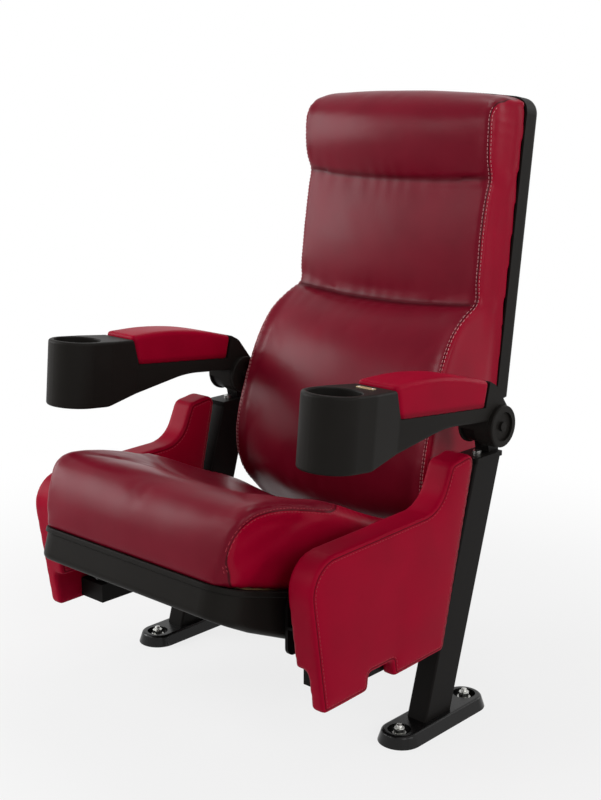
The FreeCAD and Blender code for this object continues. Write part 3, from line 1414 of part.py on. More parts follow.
def main():
    for side in (LEFT, RIGHT):
        make_foot(side)
        make_post(side)
        make_arm_bracket(side)
        make_arm_bush(side)
        make_outer_panel(side)
        make_inner_panel(side)
        make_base_arm(side)
        make_rocker_bush(side)
        make_rocker_bracket(side)
        make_rocker_axle(side)
        make_springs(side)
        make_upright(side)
        make_arm(side)
        make_arm_core(side)
        make_arm_pad(side)
        make_arm_pin(side)
        make_pivot_cap(side)
    make_number_plate()
    make_bracket_screws()
    make_panel_screws()
    make_rocker_bolts()
    make_buffers()
    make_seat_pan()
    make_seat_frame()
    make_seat_deck()
    make_seat_cushion()
    make_back_board()
    make_back_shell()
    make_upright_bolts()
    make_back_cushion()
    doc.recompute()
    check_document()
    os.makedirs("parts", exist_ok=True)
    for item in nodes:
        item.Shape.exportStep(f"parts/{item.Label}.step")


main()
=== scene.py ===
"""Auditorium rocker chair: finishes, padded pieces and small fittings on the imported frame."""

import math

import bmesh
import bpy
import numpy as np
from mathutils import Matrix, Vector
from mathutils.bvhtree import BVHTree


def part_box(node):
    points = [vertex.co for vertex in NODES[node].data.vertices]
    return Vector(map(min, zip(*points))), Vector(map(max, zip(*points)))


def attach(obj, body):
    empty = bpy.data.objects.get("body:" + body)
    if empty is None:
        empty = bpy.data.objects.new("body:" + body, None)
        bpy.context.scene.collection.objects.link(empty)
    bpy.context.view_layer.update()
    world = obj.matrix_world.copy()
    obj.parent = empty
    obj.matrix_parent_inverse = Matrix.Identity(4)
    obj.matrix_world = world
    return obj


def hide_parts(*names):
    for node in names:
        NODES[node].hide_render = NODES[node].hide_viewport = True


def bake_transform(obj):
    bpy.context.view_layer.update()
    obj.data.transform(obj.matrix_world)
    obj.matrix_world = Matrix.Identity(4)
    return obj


bl_info = {
    "name": "Auditorium rocker chair",
    "version": (1, 0, 0),
    "blender": (4, 5, 0),
    "location": "View3D > Sidebar > Chair",
    "description": "Builds the chair's covers, fittings and stage on its CAD frame",
    "category": "Object",
}

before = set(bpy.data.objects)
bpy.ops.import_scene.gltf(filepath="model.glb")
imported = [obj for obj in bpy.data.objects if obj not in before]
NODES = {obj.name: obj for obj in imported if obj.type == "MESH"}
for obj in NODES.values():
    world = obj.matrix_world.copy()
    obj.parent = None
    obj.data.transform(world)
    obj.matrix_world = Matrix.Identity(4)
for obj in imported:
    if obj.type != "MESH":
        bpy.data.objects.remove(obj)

MILLIMETRE = 0.001
MERGE_GAP = 0.01 * MILLIMETRE
SEAT_ORIGIN = (-0.420, 0.343)
SEAT_FALL = math.radians(-17.0)
BACK_ORIGIN = (0.271, 0.515)
BACK_LEAN = math.radians(7.2)
ARM_TILT = math.radians(5.5)
FULL_TURN = 2.0 * math.pi

# Specular levels of the finishes
FACE_GLOSS = 0.11
GUSSET_GLOSS = 0.05
HARD_GLOSS = 0.05
CAST_GLOSS = 0.20

# Rounds that even a cover out: on its new grid, about the tucks and once it is filled
RELAX_RETURN = 0.94
CUSHION_GRID_ROUNDS = 4
PANEL_GRID_ROUNDS = 3
PAD_GRID_ROUNDS = 2
TUCK_ROUNDS = 16
CUSHION_ROUNDS = 8

# Filling, tables and stitches
CLOTH_QUALITY = 4
FREE_SHARE = 0.9
BAND = 0.010
PITCH_STEPS = 10
SETTLE_SPAN = 40
RAY_REACH = 0.3


def linear(red, green, blue):
    """A display colour, 0 to 255 a channel, as linear values."""
    share = np.array((red, green, blue)) / 255.0
    low = share / 12.92
    high = ((share + 0.055) / 1.055) ** 2.4
    return tuple(float(value) for value in np.where(share <= 0.04045, low, high))


def colour_property(name, description, red, green, blue):
    """A colour property whose default is a display colour."""
    return bpy.props.FloatVectorProperty(
        name=name,
        description=description,
        subtype="COLOR",
        size=3,
        min=0.0,
        max=1.0,
        default=linear(red, green, blue),
    )


def length_property(name, description, millimetres):
    """A length property whose default is given in millimetres."""
    return bpy.props.FloatProperty(
        name=name,
        description=description,
        unit="LENGTH",
        min=0.0,
        precision=5,
        default=millimetres * MILLIMETRE,
    )


class ChairColours(bpy.types.PropertyGroup):
    """Colours of the chair's finishes."""

    burgundy: colour_property("Burgundy", "Cover of the seat's and back's faces", 116, 12, 34)
    crimson: colour_property("Crimson", "Cover of gussets, side panels and arm pads", 158, 3, 40)
    thread: colour_property("Thread", "Seam thread of the back", 214, 150, 152)
    red_thread: colour_property("Red thread", "Seam thread of the panels and the seat", 176, 66, 76)
    plastic: colour_property("Plastic", "Moulded black plastic", 30, 28, 26)
    paint: colour_property("Paint", "Painted steel", 23, 21, 20)
    foot: colour_property("Foot", "Glossy cast foot", 20, 19, 19)
    bush: colour_property("Bush", "Plastic of the sleeves", 70, 68, 66)
    zinc: colour_property("Zinc", "Plated screws and nuts", 186, 186, 182)
    spring: colour_property("Spring", "Spring steel", 96, 98, 102)
    rubber: colour_property("Rubber", "Buffers", 26, 26, 26)
    board: colour_property("Board", "Plywood boards", 178, 142, 98)
    plate: colour_property("Plate", "Bare metal plate on the arm", 214, 194, 150)
    floor: colour_property("Floor", "Stage floor", 210, 210, 210)


class ChairSizes(bpy.types.PropertyGroup):
    """Sizes of the padded pieces, seams and fittings."""

    cushion_grid: length_property("Cushion grid", "Remesh size of the cushions", 7.0)
    panel_grid: length_property("Panel grid", "Remesh size of the side panels", 4.2)
    pad_grid: length_property("Pad grid", "Remesh size of the arm pads", 2.2)
    cushion_inset: length_property("Cushion inset", "Inset of a cushion before it is filled", 5.0)
    panel_inset: length_property("Panel inset", "Inset of a panel before it is filled", 0.6)
    cushion_cap: length_property("Cushion cap", "Most that a cushion's cover moves", 24.0)
    panel_cap: length_property("Panel cap", "Most that a panel's cover moves", 4.0)
    seam_depth: length_property("Seam depth", "Depth of a seam's groove", 1.6)
    seam_width: length_property("Seam width", "Half width of a seam's groove", 3.2)
    tuck_depth: length_property("Tuck depth", "Depth of the back's two tucks", 3.5)
    tuck_width: length_property("Tuck width", "Half width of the back's two tucks", 5.0)
    stitch_length: length_property("Stitch length", "Length of one stitch", 5.0)
    stitch_pitch: length_property("Stitch pitch", "Distance from stitch to stitch", 7.0)
    stitch_radius: length_property("Stitch radius", "Radius of the thread", 0.55)
    stitch_offset: length_property("Stitch offset", "Distance from the seam to a row of stitches", 3.5)
    back_seam: length_property("Back seam", "Distance of the back's seam from its widest line", 7.6)
    head_seam: length_property("Head seam", "Height of the head roll's tuck on the back", 394.0)
    lumbar_seam: length_property("Lumbar seam", "Height of the lumbar roll's tuck on the back", 171.0)
    tuck_sag: length_property("Tuck sag", "Sag of the back's tucks at the middle", 12.0)
    back_flare: length_property("Back flare", "Half of the back's width at the shell", 228.5)
    edge_swell: length_property("Edge swell", "Swell of the seat's and lumbar roll's edges", 10.0)
    seat_lip: length_property("Seat lip", "Reach of the seat's lower edge down to the pan", 7.0)
    panel_overlap: length_property("Panel overlap", "Overlap of a panel's two joined layers", 1.0)
    seat_seam: length_property("Seat seam", "Distance of the seat's corner seams from the middle", 218.0)
    ear: length_property("Ear", "Place of the seat's corner seams behind its front", 16.0)
    gusset_drop: length_property("Gusset drop", "Depth of the seat's side seams below its crest", 19.0)
    pressure: bpy.props.FloatProperty(
        name="Pressure",
        description="Pressure of the filling under a cover",
        min=0.0,
        default=4.0,
    )
    frames: bpy.props.IntProperty(
        name="Frames",
        description="Steps of the filling",
        min=1,
        default=20,
    )


def local_axes(points, origin, angle):
    """Points in a tilted side frame: along x, across the tilt and up the tilt."""
    y = points[:, 1] - origin[0]
    z = points[:, 2] - origin[1]
    across = y * math.cos(angle) - z * math.sin(angle)
    up = y * math.sin(angle) + z * math.cos(angle)
    return points[:, 0], across, up


def world_point(x, across, up, origin, angle):
    """The inverse of local_axes for one point or for arrays."""
    y = origin[0] + across * math.cos(angle) + up * math.sin(angle)
    z = origin[1] - across * math.sin(angle) + up * math.cos(angle)
    return np.stack(np.broadcast_arrays(x, y, z), axis=-1)


def bell(distance, width):
    """One at distance zero, falling smoothly to nothing beyond the width."""
    return np.exp(-((distance / width) ** 2))


def ease(value, start, end):
    """Zero before start, one after end, smooth between."""
    share = np.clip((value - start) / (end - start), 0.0, 1.0)
    return share * share * (3.0 - 2.0 * share)


def mesh_points(mesh):
    """A mesh's vertices as an array."""
    points = np.empty(len(mesh.vertices) * 3)
    mesh.vertices.foreach_get("co", points)
    return points.reshape(-1, 3)


def set_points(mesh, points):
    """Writes an array back to a mesh's vertices."""
    mesh.vertices.foreach_set("co", points.ravel())
    mesh.update()


def mesh_normals(mesh):
    """A mesh's vertex normals as an array."""
    normals = np.empty(len(mesh.vertices) * 3)
    mesh.vertex_normals.foreach_get("vector", normals)
    return normals.reshape(-1, 3)


def write_marks(mesh, seam, painted_shade):
    """Two values a vertex that the leather reads: distance from a seam, and a share of painted shade that
    darkens the colour.
    """
    for name, values in (("seam", seam), ("painted_shade", painted_shade)):
        layer = mesh.attributes.new(name, "FLOAT", "POINT")
        each = np.broadcast_to(values, (len(mesh.vertices),))
        layer.data.foreach_set("value", each.astype(np.float32))


def add_object(name, mesh):
    """Links a new mesh object at the origin."""
    piece = bpy.data.objects.new(name, mesh)
    bpy.context.scene.collection.objects.link(piece)
    return piece


def smooth_faces(mesh):
    """Shades every face smooth."""
    mesh.polygons.foreach_set("use_smooth", np.ones(len(mesh.polygons), dtype=bool))


def merged_mesh(name, node):
    """A copy of a CAD node's mesh with its shared corners merged."""
    shape = bmesh.new()
    shape.from_mesh(NODES[node].data)
    bmesh.ops.remove_doubles(shape, verts=shape.verts, dist=MERGE_GAP)
    mesh = bpy.data.meshes.new(name)
    shape.to_mesh(mesh)
    shape.free()
    return mesh


def joined_mesh(name, meshes):
    """Several meshes as one; the single ones are removed."""
    shape = bmesh.new()
    for mesh in meshes:
        shape.from_mesh(mesh)
        bpy.data.meshes.remove(mesh)
    whole = bpy.data.meshes.new(name)
    shape.to_mesh(whole)
    shape.free()
    return whole


def evaluated_mesh(piece):
    """The piece's mesh with its modifiers applied."""
    graph = bpy.context.evaluated_depsgraph_get()
    graph.update()
    return bpy.data.meshes.new_from_object(piece.evaluated_get(graph))


def relax(mesh, rounds, where=1.0):
    """Evens the surface out, by a share a vertex.

    Each round is a half step to the mean of the neighbours, then a slightly smaller step back.
    """
    count = len(mesh.vertices)
    share = 0.5 * np.broadcast_to(np.asarray(where), (count,))[:, None]
    edges = np.empty(len(mesh.edges) * 2, dtype=np.int64)
    mesh.edges.foreach_get("vertices", edges)
    ends = edges.reshape(-1, 2)
    valence = np.bincount(edges, minlength=count)[:, None]
    points = mesh_points(mesh)
    for _ in range(rounds):
        for step in (share, -share * RELAX_RETURN):
            total = np.zeros_like(points)
            np.add.at(total, ends[:, 0], points[ends[:, 1]])
            np.add.at(total, ends[:, 1], points[ends[:, 0]])
            points += step * (total / valence - points)
    set_points(mesh, points)


def remeshed(name, mesh, grid, rounds):
    """A new object: a closed mesh on an even grid, lightly evened out."""
    piece = add_object(name, mesh)
    change = piece.modifiers.new("grid", "REMESH")
    change.mode = "VOXEL"
    change.voxel_size = grid
    even = evaluated_mesh(piece)
    piece.modifiers.clear()
    piece.data = even
    bpy.data.meshes.remove(mesh)
    even.name = name
    relax(even, rounds)
    smooth_faces(even)
    even.materials.clear()
    return piece


def fill_cover(piece, pins, inset, cap, sizes, rounds=1):
    """Insets the cover, fills it by pressure with the pinned vertices held, and caps the movement."""
    mesh = piece.data
    start = mesh_points(mesh) - mesh_normals(mesh) * (inset * (1.0 - pins))[:, None]
    set_points(mesh, start)
    group = piece.vertex_groups.new(name="held")
    tenths = np.round(pins, 1)
    for weight in np.unique(tenths):
        group.add(np.flatnonzero(tenths == weight).tolist(), float(weight), "REPLACE")
    change = piece.modifiers.new("filling", "CLOTH")
    cloth = change.settings
    cloth.use_pressure = True
    cloth.uniform_pressure_force = sizes.pressure
    cloth.quality = CLOTH_QUALITY
    cloth.vertex_group_mass = group.name
    cloth.effector_weights.gravity = 0.0
    change.point_cache.frame_start = 1
    change.point_cache.frame_end = sizes.frames
    scene = bpy.context.scene
    for frame in range(1, sizes.frames + 1):
        scene.frame_set(frame)
    filled = evaluated_mesh(piece)
    moved = mesh_points(filled) - start
    bpy.data.meshes.remove(filled)
    piece.modifiers.clear()
    piece.vertex_groups.clear()
    scene.frame_set(1)
    length = np.linalg.norm(moved, axis=1, keepdims=True)
    capped = cap * np.tanh(length / cap)
    set_points(mesh, start + moved * capped / np.maximum(length, 1e-9))
    relax(mesh, rounds)


def press(mesh, depth):
    """Pushes the cover in along its normals by a depth a vertex."""
    set_points(mesh, mesh_points(mesh) - mesh_normals(mesh) * depth[:, None])


def uneven(points, wave, seed):
    """A soft unevenness between about -1 and 1: three crossed sine waves of one wave length."""
    turns = FULL_TURN / wave
    x, y, z = points.T
    first = np.sin(turns * (x + 0.6 * z) + seed)
    second = np.sin(turns * (0.8 * y - 0.5 * x) + 2.3 * seed)
    third = np.sin(turns * (0.9 * z + 0.4 * y) + 4.1 * seed)
    return (first + second + third) / 3.0


def ripples(place, wave, wander, drift):
    """A sine wave along a place, whose phase wanders by a second, slower sine."""
    return np.sin(place * FULL_TURN / wave + wander * np.sin(place * drift))


def band_table(along, values, spread):
    """The bands' middles along a direction, and the greatest value in each, made even by a moving mean."""
    edges = np.arange(along.min(), along.max() + BAND, BAND)
    band = np.clip(np.digitize(along, edges) - 1, 0, len(edges) - 2)
    most = np.zeros(len(edges) - 1)
    np.maximum.at(most, band, values)
    window = 2 * spread + 1
    padded = np.pad(most, spread, mode="edge")
    even = np.convolve(padded, np.full(window, 1.0 / window), mode="valid")
    return 0.5 * (edges[:-1] + edges[1:]), even


def fuller_edges(mesh, rise, angle, upward):
    """Swells the side edges: out along the normal, most where it lies halfway between side and face.

    The face looks up the tilt for a seat and against the tilt's depth for a back. The share is the
    square of the sine of twice the angle between the normal and the side.
    """
    normals = mesh_normals(mesh)
    _, across, up = local_axes(normals, (0.0, 0.0), angle)
    face = np.maximum(up if upward else -across, 0.0)
    share = (2.0 * np.abs(normals[:, 0]) * face) ** 2
    set_points(mesh, mesh_points(mesh) + normals * (rise * share)[:, None])


def subdivide(piece):
    """One level of subdivision, the same in view and render."""
    change = piece.modifiers.new("surface", "SUBSURF")
    change.levels = 1
    change.render_levels = 1


def cover_piece(piece, body, nodes, slot):
    """Finishes a padded piece: surface, material, body, and the nodes that it stands for."""
    subdivide(piece)
    piece.data.materials.clear()
    piece.data.materials.append(finish(slot))
    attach(piece, body)
    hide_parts(*nodes)


def small_piece(name, grids, body, look):
    """One object of several closed forms, such as the stitches of a seam, in a finish's look."""
    mesh = mesh_from_grid(name, grids)
    mesh.materials.append(finish(look))
    piece = add_object(name, mesh)
    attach(piece, body)
    return mesh


def thread_piece(name, grids, body, look):
    """One object of all the stitches of a seam, shaded smooth."""
    smooth_faces(small_piece(name, grids, body, look))


def mesh_from_grid(name, grids):
    """One mesh of several closed tubes, each a grid of rings by sides with its two ends capped."""
    points = []
    faces = []
    first = 0
    for grid in grids:
        rings, sides = grid.shape[:2]
        points.append(grid.reshape(-1, 3))
        ring = np.arange(rings - 1)[:, None]
        side = np.arange(sides)[None, :]
        following = (side + 1) % sides
        corner = first + ring * sides
        quads = np.stack(
            np.broadcast_arrays(
                corner + side, corner + following, corner + sides + following, corner + sides + side
            ),
            axis=-1,
        )
        faces.extend(quads.reshape(-1, 4).tolist())
        faces.append((first + np.arange(sides)[::-1]).tolist())
        faces.append((first + (rings - 1) * sides + np.arange(sides)).tolist())
        first += rings * sides
    mesh = bpy.data.meshes.new(name)
    mesh.from_pydata(np.concatenate(points).tolist(), [], faces)
    mesh.validate()
    shape = bmesh.new()
    shape.from_mesh(mesh)
    bmesh.ops.recalc_face_normals(shape, faces=shape.faces)
    shape.to_mesh(mesh)
    shape.free()
    return mesh


def ring_angles(sides):
    """The angles of a ring's corners."""
    return np.arange(sides) * (FULL_TURN / sides)


def stitch_grids(starts, ends, normals, radius):
    """Each stitch is a capsule: rings along its length whose radius is a half ellipse at each end."""
    shares = np.array((0.0, 0.12, 0.5, 0.88, 1.0))
    swell = np.array((0.35, 0.85, 1.0, 0.85, 0.35))
    lift = np.array((-0.4, 0.25, 0.55, 0.25, -0.4))
    angles = ring_angles(6)
    along = ends - starts
    unit = along / np.linalg.norm(along, axis=1, keepdims=True)
    across = np.cross(normals, unit)
    across /= np.linalg.norm(across, axis=1, keepdims=True)
    out = np.cross(unit, across)
    middle = starts[:, None, :] + along[:, None, :] * shares[None, :, None]
    middle = middle + out[:, None, :] * (radius * lift)[None, :, None]
    ring = (
        across[:, None, None, :] * np.cos(angles)[None, None, :, None]
        + out[:, None, None, :] * np.sin(angles)[None, None, :, None]
    )
    return middle[:, :, None, :] + ring * (radius * swell)[None, :, None, None]


def cast(tree, origins, directions):
    """Where rays meet a surface: points, normals and whether each one hit."""
    points = np.zeros_like(origins)
    normals = np.zeros_like(origins)
    found = np.zeros(len(origins), dtype=bool)
    for index, (origin, direction) in enumerate(zip(origins, directions)):
        hit, normal, _, _ = tree.ray_cast(Vector(origin), Vector(direction), RAY_REACH)
        if hit is not None:
            points[index] = hit
            normals[index] = normal
            found[index] = True
    return points, normals, found


def surface_tree(piece):
    """A search tree of the piece's finished surface."""
    graph = bpy.context.evaluated_depsgraph_get()
    graph.update()
    return BVHTree.FromObject(piece, graph)


def along_path(path, spacing):
    """Points at an even spacing along a polyline."""
    steps = np.linalg.norm(np.diff(path, axis=0), axis=1)
    reach = np.concatenate(((0.0,), np.cumsum(steps)))
    places = np.arange(0.0, reach[-1], spacing)
    return np.stack([np.interp(places, reach, path[:, axis]) for axis in range(3)], axis=1)


def settled(tree, points):
    """A row of points made even by a moving mean and laid on the surface again, as cast gives them."""
    half = SETTLE_SPAN // 2
    padded = np.pad(points, ((half, half), (0, 0)), mode="edge")
    sums = np.cumsum(np.concatenate((np.zeros((1, 3)), padded)), axis=0)
    even = ((sums[SETTLE_SPAN:] - sums[:-SETTLE_SPAN]) / SETTLE_SPAN)[: len(points)]
    places = np.zeros_like(even)
    normals = np.zeros_like(even)
    for index, point in enumerate(even):
        place, normal, _, _ = tree.find_nearest(Vector(point))
        places[index] = place
        normals[index] = normal
    return places, normals, np.ones(len(even), dtype=bool)


def stitch_row(points, normals, found, sizes):
    """Capsules between points along a row, of which PITCH_STEPS lie in a stitch pitch."""
    span = round(PITCH_STEPS * sizes.stitch_length / sizes.stitch_pitch)
    starts = np.arange(0, len(points) - span, PITCH_STEPS)
    starts = starts[found[starts] & found[starts + span]]
    return stitch_grids(points[starts], points[starts + span], normals[starts], sizes.stitch_radius)


def math_node(tree, operation, *sources):
    """A math node's value: one operation on one or two sockets."""
    node = tree.nodes.new("ShaderNodeMath")
    node.operation = operation
    for source, socket in zip(sources, node.inputs):
        tree.links.new(source, socket)
    return node.outputs["Value"]


def seen_share(tree):
    """One for rays from the camera, off gloss or through glass, zero for the light on the object."""
    ray = tree.nodes.new("ShaderNodeLightPath")
    share = ray.outputs["Is Camera Ray"]
    for name in ("Is Glossy Ray", "Is Transmission Ray"):
        share = math_node(tree, "MAXIMUM", share, ray.outputs[name])
    return share


def node_tree(material):
    """The material's nodes, cleared, with its output and a Principled shader."""
    material.use_nodes = True
    tree = material.node_tree
    tree.nodes.clear()
    output = tree.nodes.new("ShaderNodeOutputMaterial")
    shader = tree.nodes.new("ShaderNodeBsdfPrincipled")
    tree.links.new(shader.outputs["BSDF"], output.inputs["Surface"])
    return tree, shader


def map_range(tree, source, start, end, low=0.0, high=1.0, interpolation="LINEAR"):
    """Maps a value from start..end to low..high, and holds it beyond both ends."""
    node = tree.nodes.new("ShaderNodeMapRange")
    node.interpolation_type = interpolation
    node.inputs["From Min"].default_value = start
    node.inputs["From Max"].default_value = end
    node.inputs["To Min"].default_value = low
    node.inputs["To Max"].default_value = high
    tree.links.new(source, node.inputs["Value"])
    return node.outputs["Result"]


def ramp_value(tree, source, low, high):
    """Maps a value from 0..1 to low..high."""
    return map_range(tree, source, 0.0, 1.0, low, high)


def noise(tree, vector, scale, detail):
    """A noise texture on a vector."""
    node = tree.nodes.new("ShaderNodeTexNoise")
    node.inputs["Scale"].default_value = scale
    node.inputs["Detail"].default_value = detail
    tree.links.new(vector, node.inputs["Vector"])
    return node.outputs["Fac"]


def tinted(tree, colour, factor):
    """A colour made lighter or darker by a factor."""
    node = tree.nodes.new("ShaderNodeVectorMath")
    node.operation = "SCALE"
    if hasattr(colour, "is_linked"):
        tree.links.new(colour, node.inputs[0])
    else:
        node.inputs[0].default_value = tuple(colour)
    tree.links.new(factor, node.inputs["Scale"])
    return node.outputs["Vector"]


def bump(tree, shader, height, strength, distance):
    """Feeds a height to the shader's normal."""
    node = tree.nodes.new("ShaderNodeBump")
    node.inputs["Strength"].default_value = strength
    node.inputs["Distance"].default_value = distance
    tree.links.new(height, node.inputs["Height"])
    tree.links.new(node.outputs["Normal"], shader.inputs["Normal"])


def new_group(name):
    """A node group with the outputs Mottle and Grain; its object coordinates and its outputs' sockets."""
    group = bpy.data.node_groups.new(name, "ShaderNodeTree")
    for socket in ("Mottle", "Grain"):
        group.interface.new_socket(socket, in_out="OUTPUT", socket_type="NodeSocketFloat")
    place = group.nodes.new("ShaderNodeTexCoord")
    output = group.nodes.new("NodeGroupOutput")
    return group, place.outputs["Object"], output.inputs


def surface_group(name, coarse, fine, detail):
    """A node group of two noises on object coordinates: Mottle, coarse, and Grain, fine."""
    group, vector, outputs = new_group(name)
    group.links.new(noise(group, vector, coarse, detail), outputs["Mottle"])
    group.links.new(noise(group, vector, fine, detail), outputs["Grain"])
    return group


def leather_group():
    """A node group for leather: Mottle, a soft cloudiness, and Grain, small rounded cells with folds."""
    group, vector, outputs = new_group("LeatherSurface")
    group.links.new(noise(group, vector, 14.0, 4.0), outputs["Mottle"])
    cells = group.nodes.new("ShaderNodeTexVoronoi")
    cells.feature = "SMOOTH_F1"
    cells.inputs["Scale"].default_value = 620.0
    cells.inputs["Smoothness"].default_value = 0.6
    group.links.new(vector, cells.inputs["Vector"])
    folds = noise(group, vector, 130.0, 5.0)
    both = group.nodes.new("ShaderNodeMath")
    both.operation = "MULTIPLY_ADD"
    both.inputs[1].default_value = 0.6
    group.links.new(cells.outputs["Distance"], both.inputs[0])
    group.links.new(folds, both.inputs[2])
    group.links.new(both.outputs["Value"], outputs["Grain"])
    return group


def group_node(tree, group):
    """An instance of a node group."""
    node = tree.nodes.new("ShaderNodeGroup")
    node.node_tree = group
    return node


def attribute_value(tree, name):
    """A vertex attribute's value."""
    node = tree.nodes.new("ShaderNodeAttribute")
    node.attribute_type = "GEOMETRY"
    node.attribute_name = name
    return node.outputs["Fac"]


def leather_material(name, face, gusset, group, roughness, gloss):
    """Leather: gusset colour where the seam attribute is negative, face colour where positive, darkened by
    painted shade where the cover is marked for it.
    """
    material = bpy.data.materials.new(name)
    tree, shader = node_tree(material)
    surface = group_node(tree, group)
    seam = attribute_value(tree, "seam")
    side = map_range(tree, seam, -0.8 * MILLIMETRE, 0.8 * MILLIMETRE)
    mix = tree.nodes.new("ShaderNodeMix")
    mix.data_type = "RGBA"
    mix.inputs["A"].default_value = (*gusset, 1.0)
    mix.inputs["B"].default_value = (*face, 1.0)
    tree.links.new(side, mix.inputs["Factor"])
    cloudy = ramp_value(tree, surface.outputs["Mottle"], 0.80, 1.16)
    shaded = tinted(tree, mix.outputs["Result"], cloudy)
    # Painted shade: the second mark that write_marks stores darkens the colour, down to 0.35 of itself,
    # along the back's tucks and the pads' lower edges
    shade_tint = ramp_value(tree, attribute_value(tree, "painted_shade"), 1.0, 0.35)
    aside = math_node(tree, "ABSOLUTE", seam)
    joint = map_range(tree, aside, 0.3 * MILLIMETRE, 1.4 * MILLIMETRE, low=0.25)
    lined = tinted(tree, shaded, joint)
    tree.links.new(tinted(tree, lined, shade_tint), shader.inputs["Base Color"])
    rough = ramp_value(tree, surface.outputs["Mottle"], roughness - 0.07, roughness + 0.07)
    tree.links.new(rough, shader.inputs["Roughness"])
    shader.inputs["Specular IOR Level"].default_value = gloss
    bump(tree, shader, surface.outputs["Grain"], 0.16, 0.35 * MILLIMETRE)
    return material


def hard_material(name, colour, group, roughness, relief, metallic=0.0, gloss=HARD_GLOSS):
    """A hard finish: a mottled colour, an uneven roughness and a fine relief."""
    material = bpy.data.materials.new(name)
    tree, shader = node_tree(material)
    surface = group_node(tree, group)
    shade = ramp_value(tree, surface.outputs["Mottle"], 0.88, 1.12)
    tree.links.new(tinted(tree, colour, shade), shader.inputs["Base Color"])
    rough = ramp_value(tree, surface.outputs["Mottle"], roughness - 0.05, roughness + 0.05)
    tree.links.new(rough, shader.inputs["Roughness"])
    shader.inputs["Metallic"].default_value = metallic
    shader.inputs["Specular IOR Level"].default_value = gloss
    bump(tree, shader, surface.outputs["Grain"], relief, 0.2 * MILLIMETRE)
    return material


def board_material(name, colour):
    """Plywood: thin plies, as bands across the thickness, with a drawn-out grain."""
    material = bpy.data.materials.new(name)
    tree, shader = node_tree(material)
    place = tree.nodes.new("ShaderNodeTexCoord")
    stretch = tree.nodes.new("ShaderNodeMapping")
    stretch.inputs["Scale"].default_value = (6.0, 90.0, 90.0)
    tree.links.new(place.outputs["Object"], stretch.inputs["Vector"])
    grain = noise(tree, stretch.outputs["Vector"], 3.0, 6.0)
    shade = ramp_value(tree, grain, 0.7, 1.2)
    tree.links.new(tinted(tree, colour, shade), shader.inputs["Base Color"])
    shader.inputs["Roughness"].default_value = 0.6
    bump(tree, shader, grain, 0.2, 0.3 * MILLIMETRE)
    return material


def make_finishes(colours):
    """The materials by name: one for each of the record's slots, and those of the new pieces."""
    leather = leather_group()
    moulded = surface_group("MouldedSurface", 18.0, 1400.0, 3.0)
    coated = surface_group("CoatedSurface", 25.0, 420.0, 4.0)
    metal = surface_group("MetalSurface", 90.0, 700.0, 5.0)
    red = colours.crimson
    crimson = leather_material("CrimsonCover", red, red, leather, 0.42, GUSSET_GLOSS)
    burgundy = leather_material("BurgundyCover", colours.burgundy, red, leather, 0.34, FACE_GLOSS)
    return {
        "cast_foot": hard_material("CastFoot", colours.foot, coated, 0.24, 0.10, gloss=CAST_GLOSS),
        "painted_steel": hard_material("PaintedSteel", colours.paint, coated, 0.40, 0.08),
        "black_plastic": hard_material("BlackPlastic", colours.plastic, moulded, 0.46, 0.22),
        "bush_plastic": hard_material("BushPlastic", colours.bush, moulded, 0.45, 0.10),
        "crimson_cover": crimson,
        "burgundy_cover": burgundy,
        "spring_steel": hard_material("SpringSteel", colours.spring, metal, 0.34, 0.06, metallic=0.9),
        "zinc_steel": hard_material("ZincSteel", colours.zinc, metal, 0.30, 0.06, metallic=1.0),
        "buffer_rubber": hard_material("BufferRubber", colours.rubber, moulded, 0.75, 0.20),
        "plywood": board_material("Plywood", colours.board),
        "plate_brass": hard_material("PlateBrass", colours.plate, metal, 0.36, 0.05, metallic=0.55),
        "thread": hard_material("Thread", colours.thread, coated, 0.65, 0.20),
        "red_thread": hard_material("RedThread", colours.red_thread, coated, 0.6, 0.20),
    }


FINISHES = {}


def finish(name):
    """A finish by its slot's name, made on first use."""
    if not FINISHES:
        FINISHES.update(make_finishes(bpy.context.scene.chair_colours))
    return FINISHES[name]


class CHAIR_OT_hard_parts(bpy.types.Operator):
    """Gives every CAD node the finish of its material slot"""

    bl_idname = "chair.hard_parts"
    bl_label = "Hard parts"

    def execute(self, context):
        for piece in NODES.values():
            for slot in piece.material_slots:
                slot.material = finish(slot.material.name.split(".")[0])
        return {"FINISHED"}


# Starts and ends of shares on the back, in metres: the rim and the face are counted forward of the board,
# the flank backward, the side from the middle, the inside from the seam, the rest up the back
BACK_RIM = (0.006, 0.016)
BACK_FACE = (0.012, 0.030)
BACK_FLANK = (-0.055, -0.010)
BACK_SIDE = (0.198, 0.214)
BACK_INSIDE = (-0.004, 0.012)
HEAD_SIDES = (0.40, 0.46)
BACK_STITCHES = (-0.225, 0.520)
BACK_TOP = 0.500
TUCK_HALF_WIDTH = 0.220

# Widths of the bells about the back's tucks and seams
LUMBAR_FADE = 0.060
TUCK_REACH = 0.055
TUCK_RELAX = 0.030
TUCK_HOLD = 0.016
# Half width of the painted shade in a band along the two tucks
TUCK_SHADE = 0.004
HEAD_FOLDS = 0.030
LUMBAR_FOLDS = 0.034
BACK_SEAM_HOLD = 0.010
BACK_PUCKERS = 0.013


def back_half_width(height, table):
    """Half the back's width at a height, which stays the same above the rounded top's start."""
    return np.interp(np.minimum(height, BACK_TOP), *table)


def back_seam_distance(points, sizes, table):
    """Signed distance from the back's side seams, positive on the front face."""
    x, _, up = local_axes(points, BACK_ORIGIN, BACK_LEAN)
    return back_half_width(up, table) - sizes.back_seam - np.abs(x)


def tuck_sag(x, sizes):
    """How far the tucks' lines sag: a parabola over the width."""
    return sizes.tuck_sag * np.clip(1.0 - (x / TUCK_HALF_WIDTH) ** 2, 0.0, 1.0)


def tuck_distances(x, up, sizes):
    """Distances above the head roll's tuck and above the lumbar roll's."""
    sag = tuck_sag(x, sizes)
    return up - sizes.head_seam + sag, up - sizes.lumbar_seam + sag


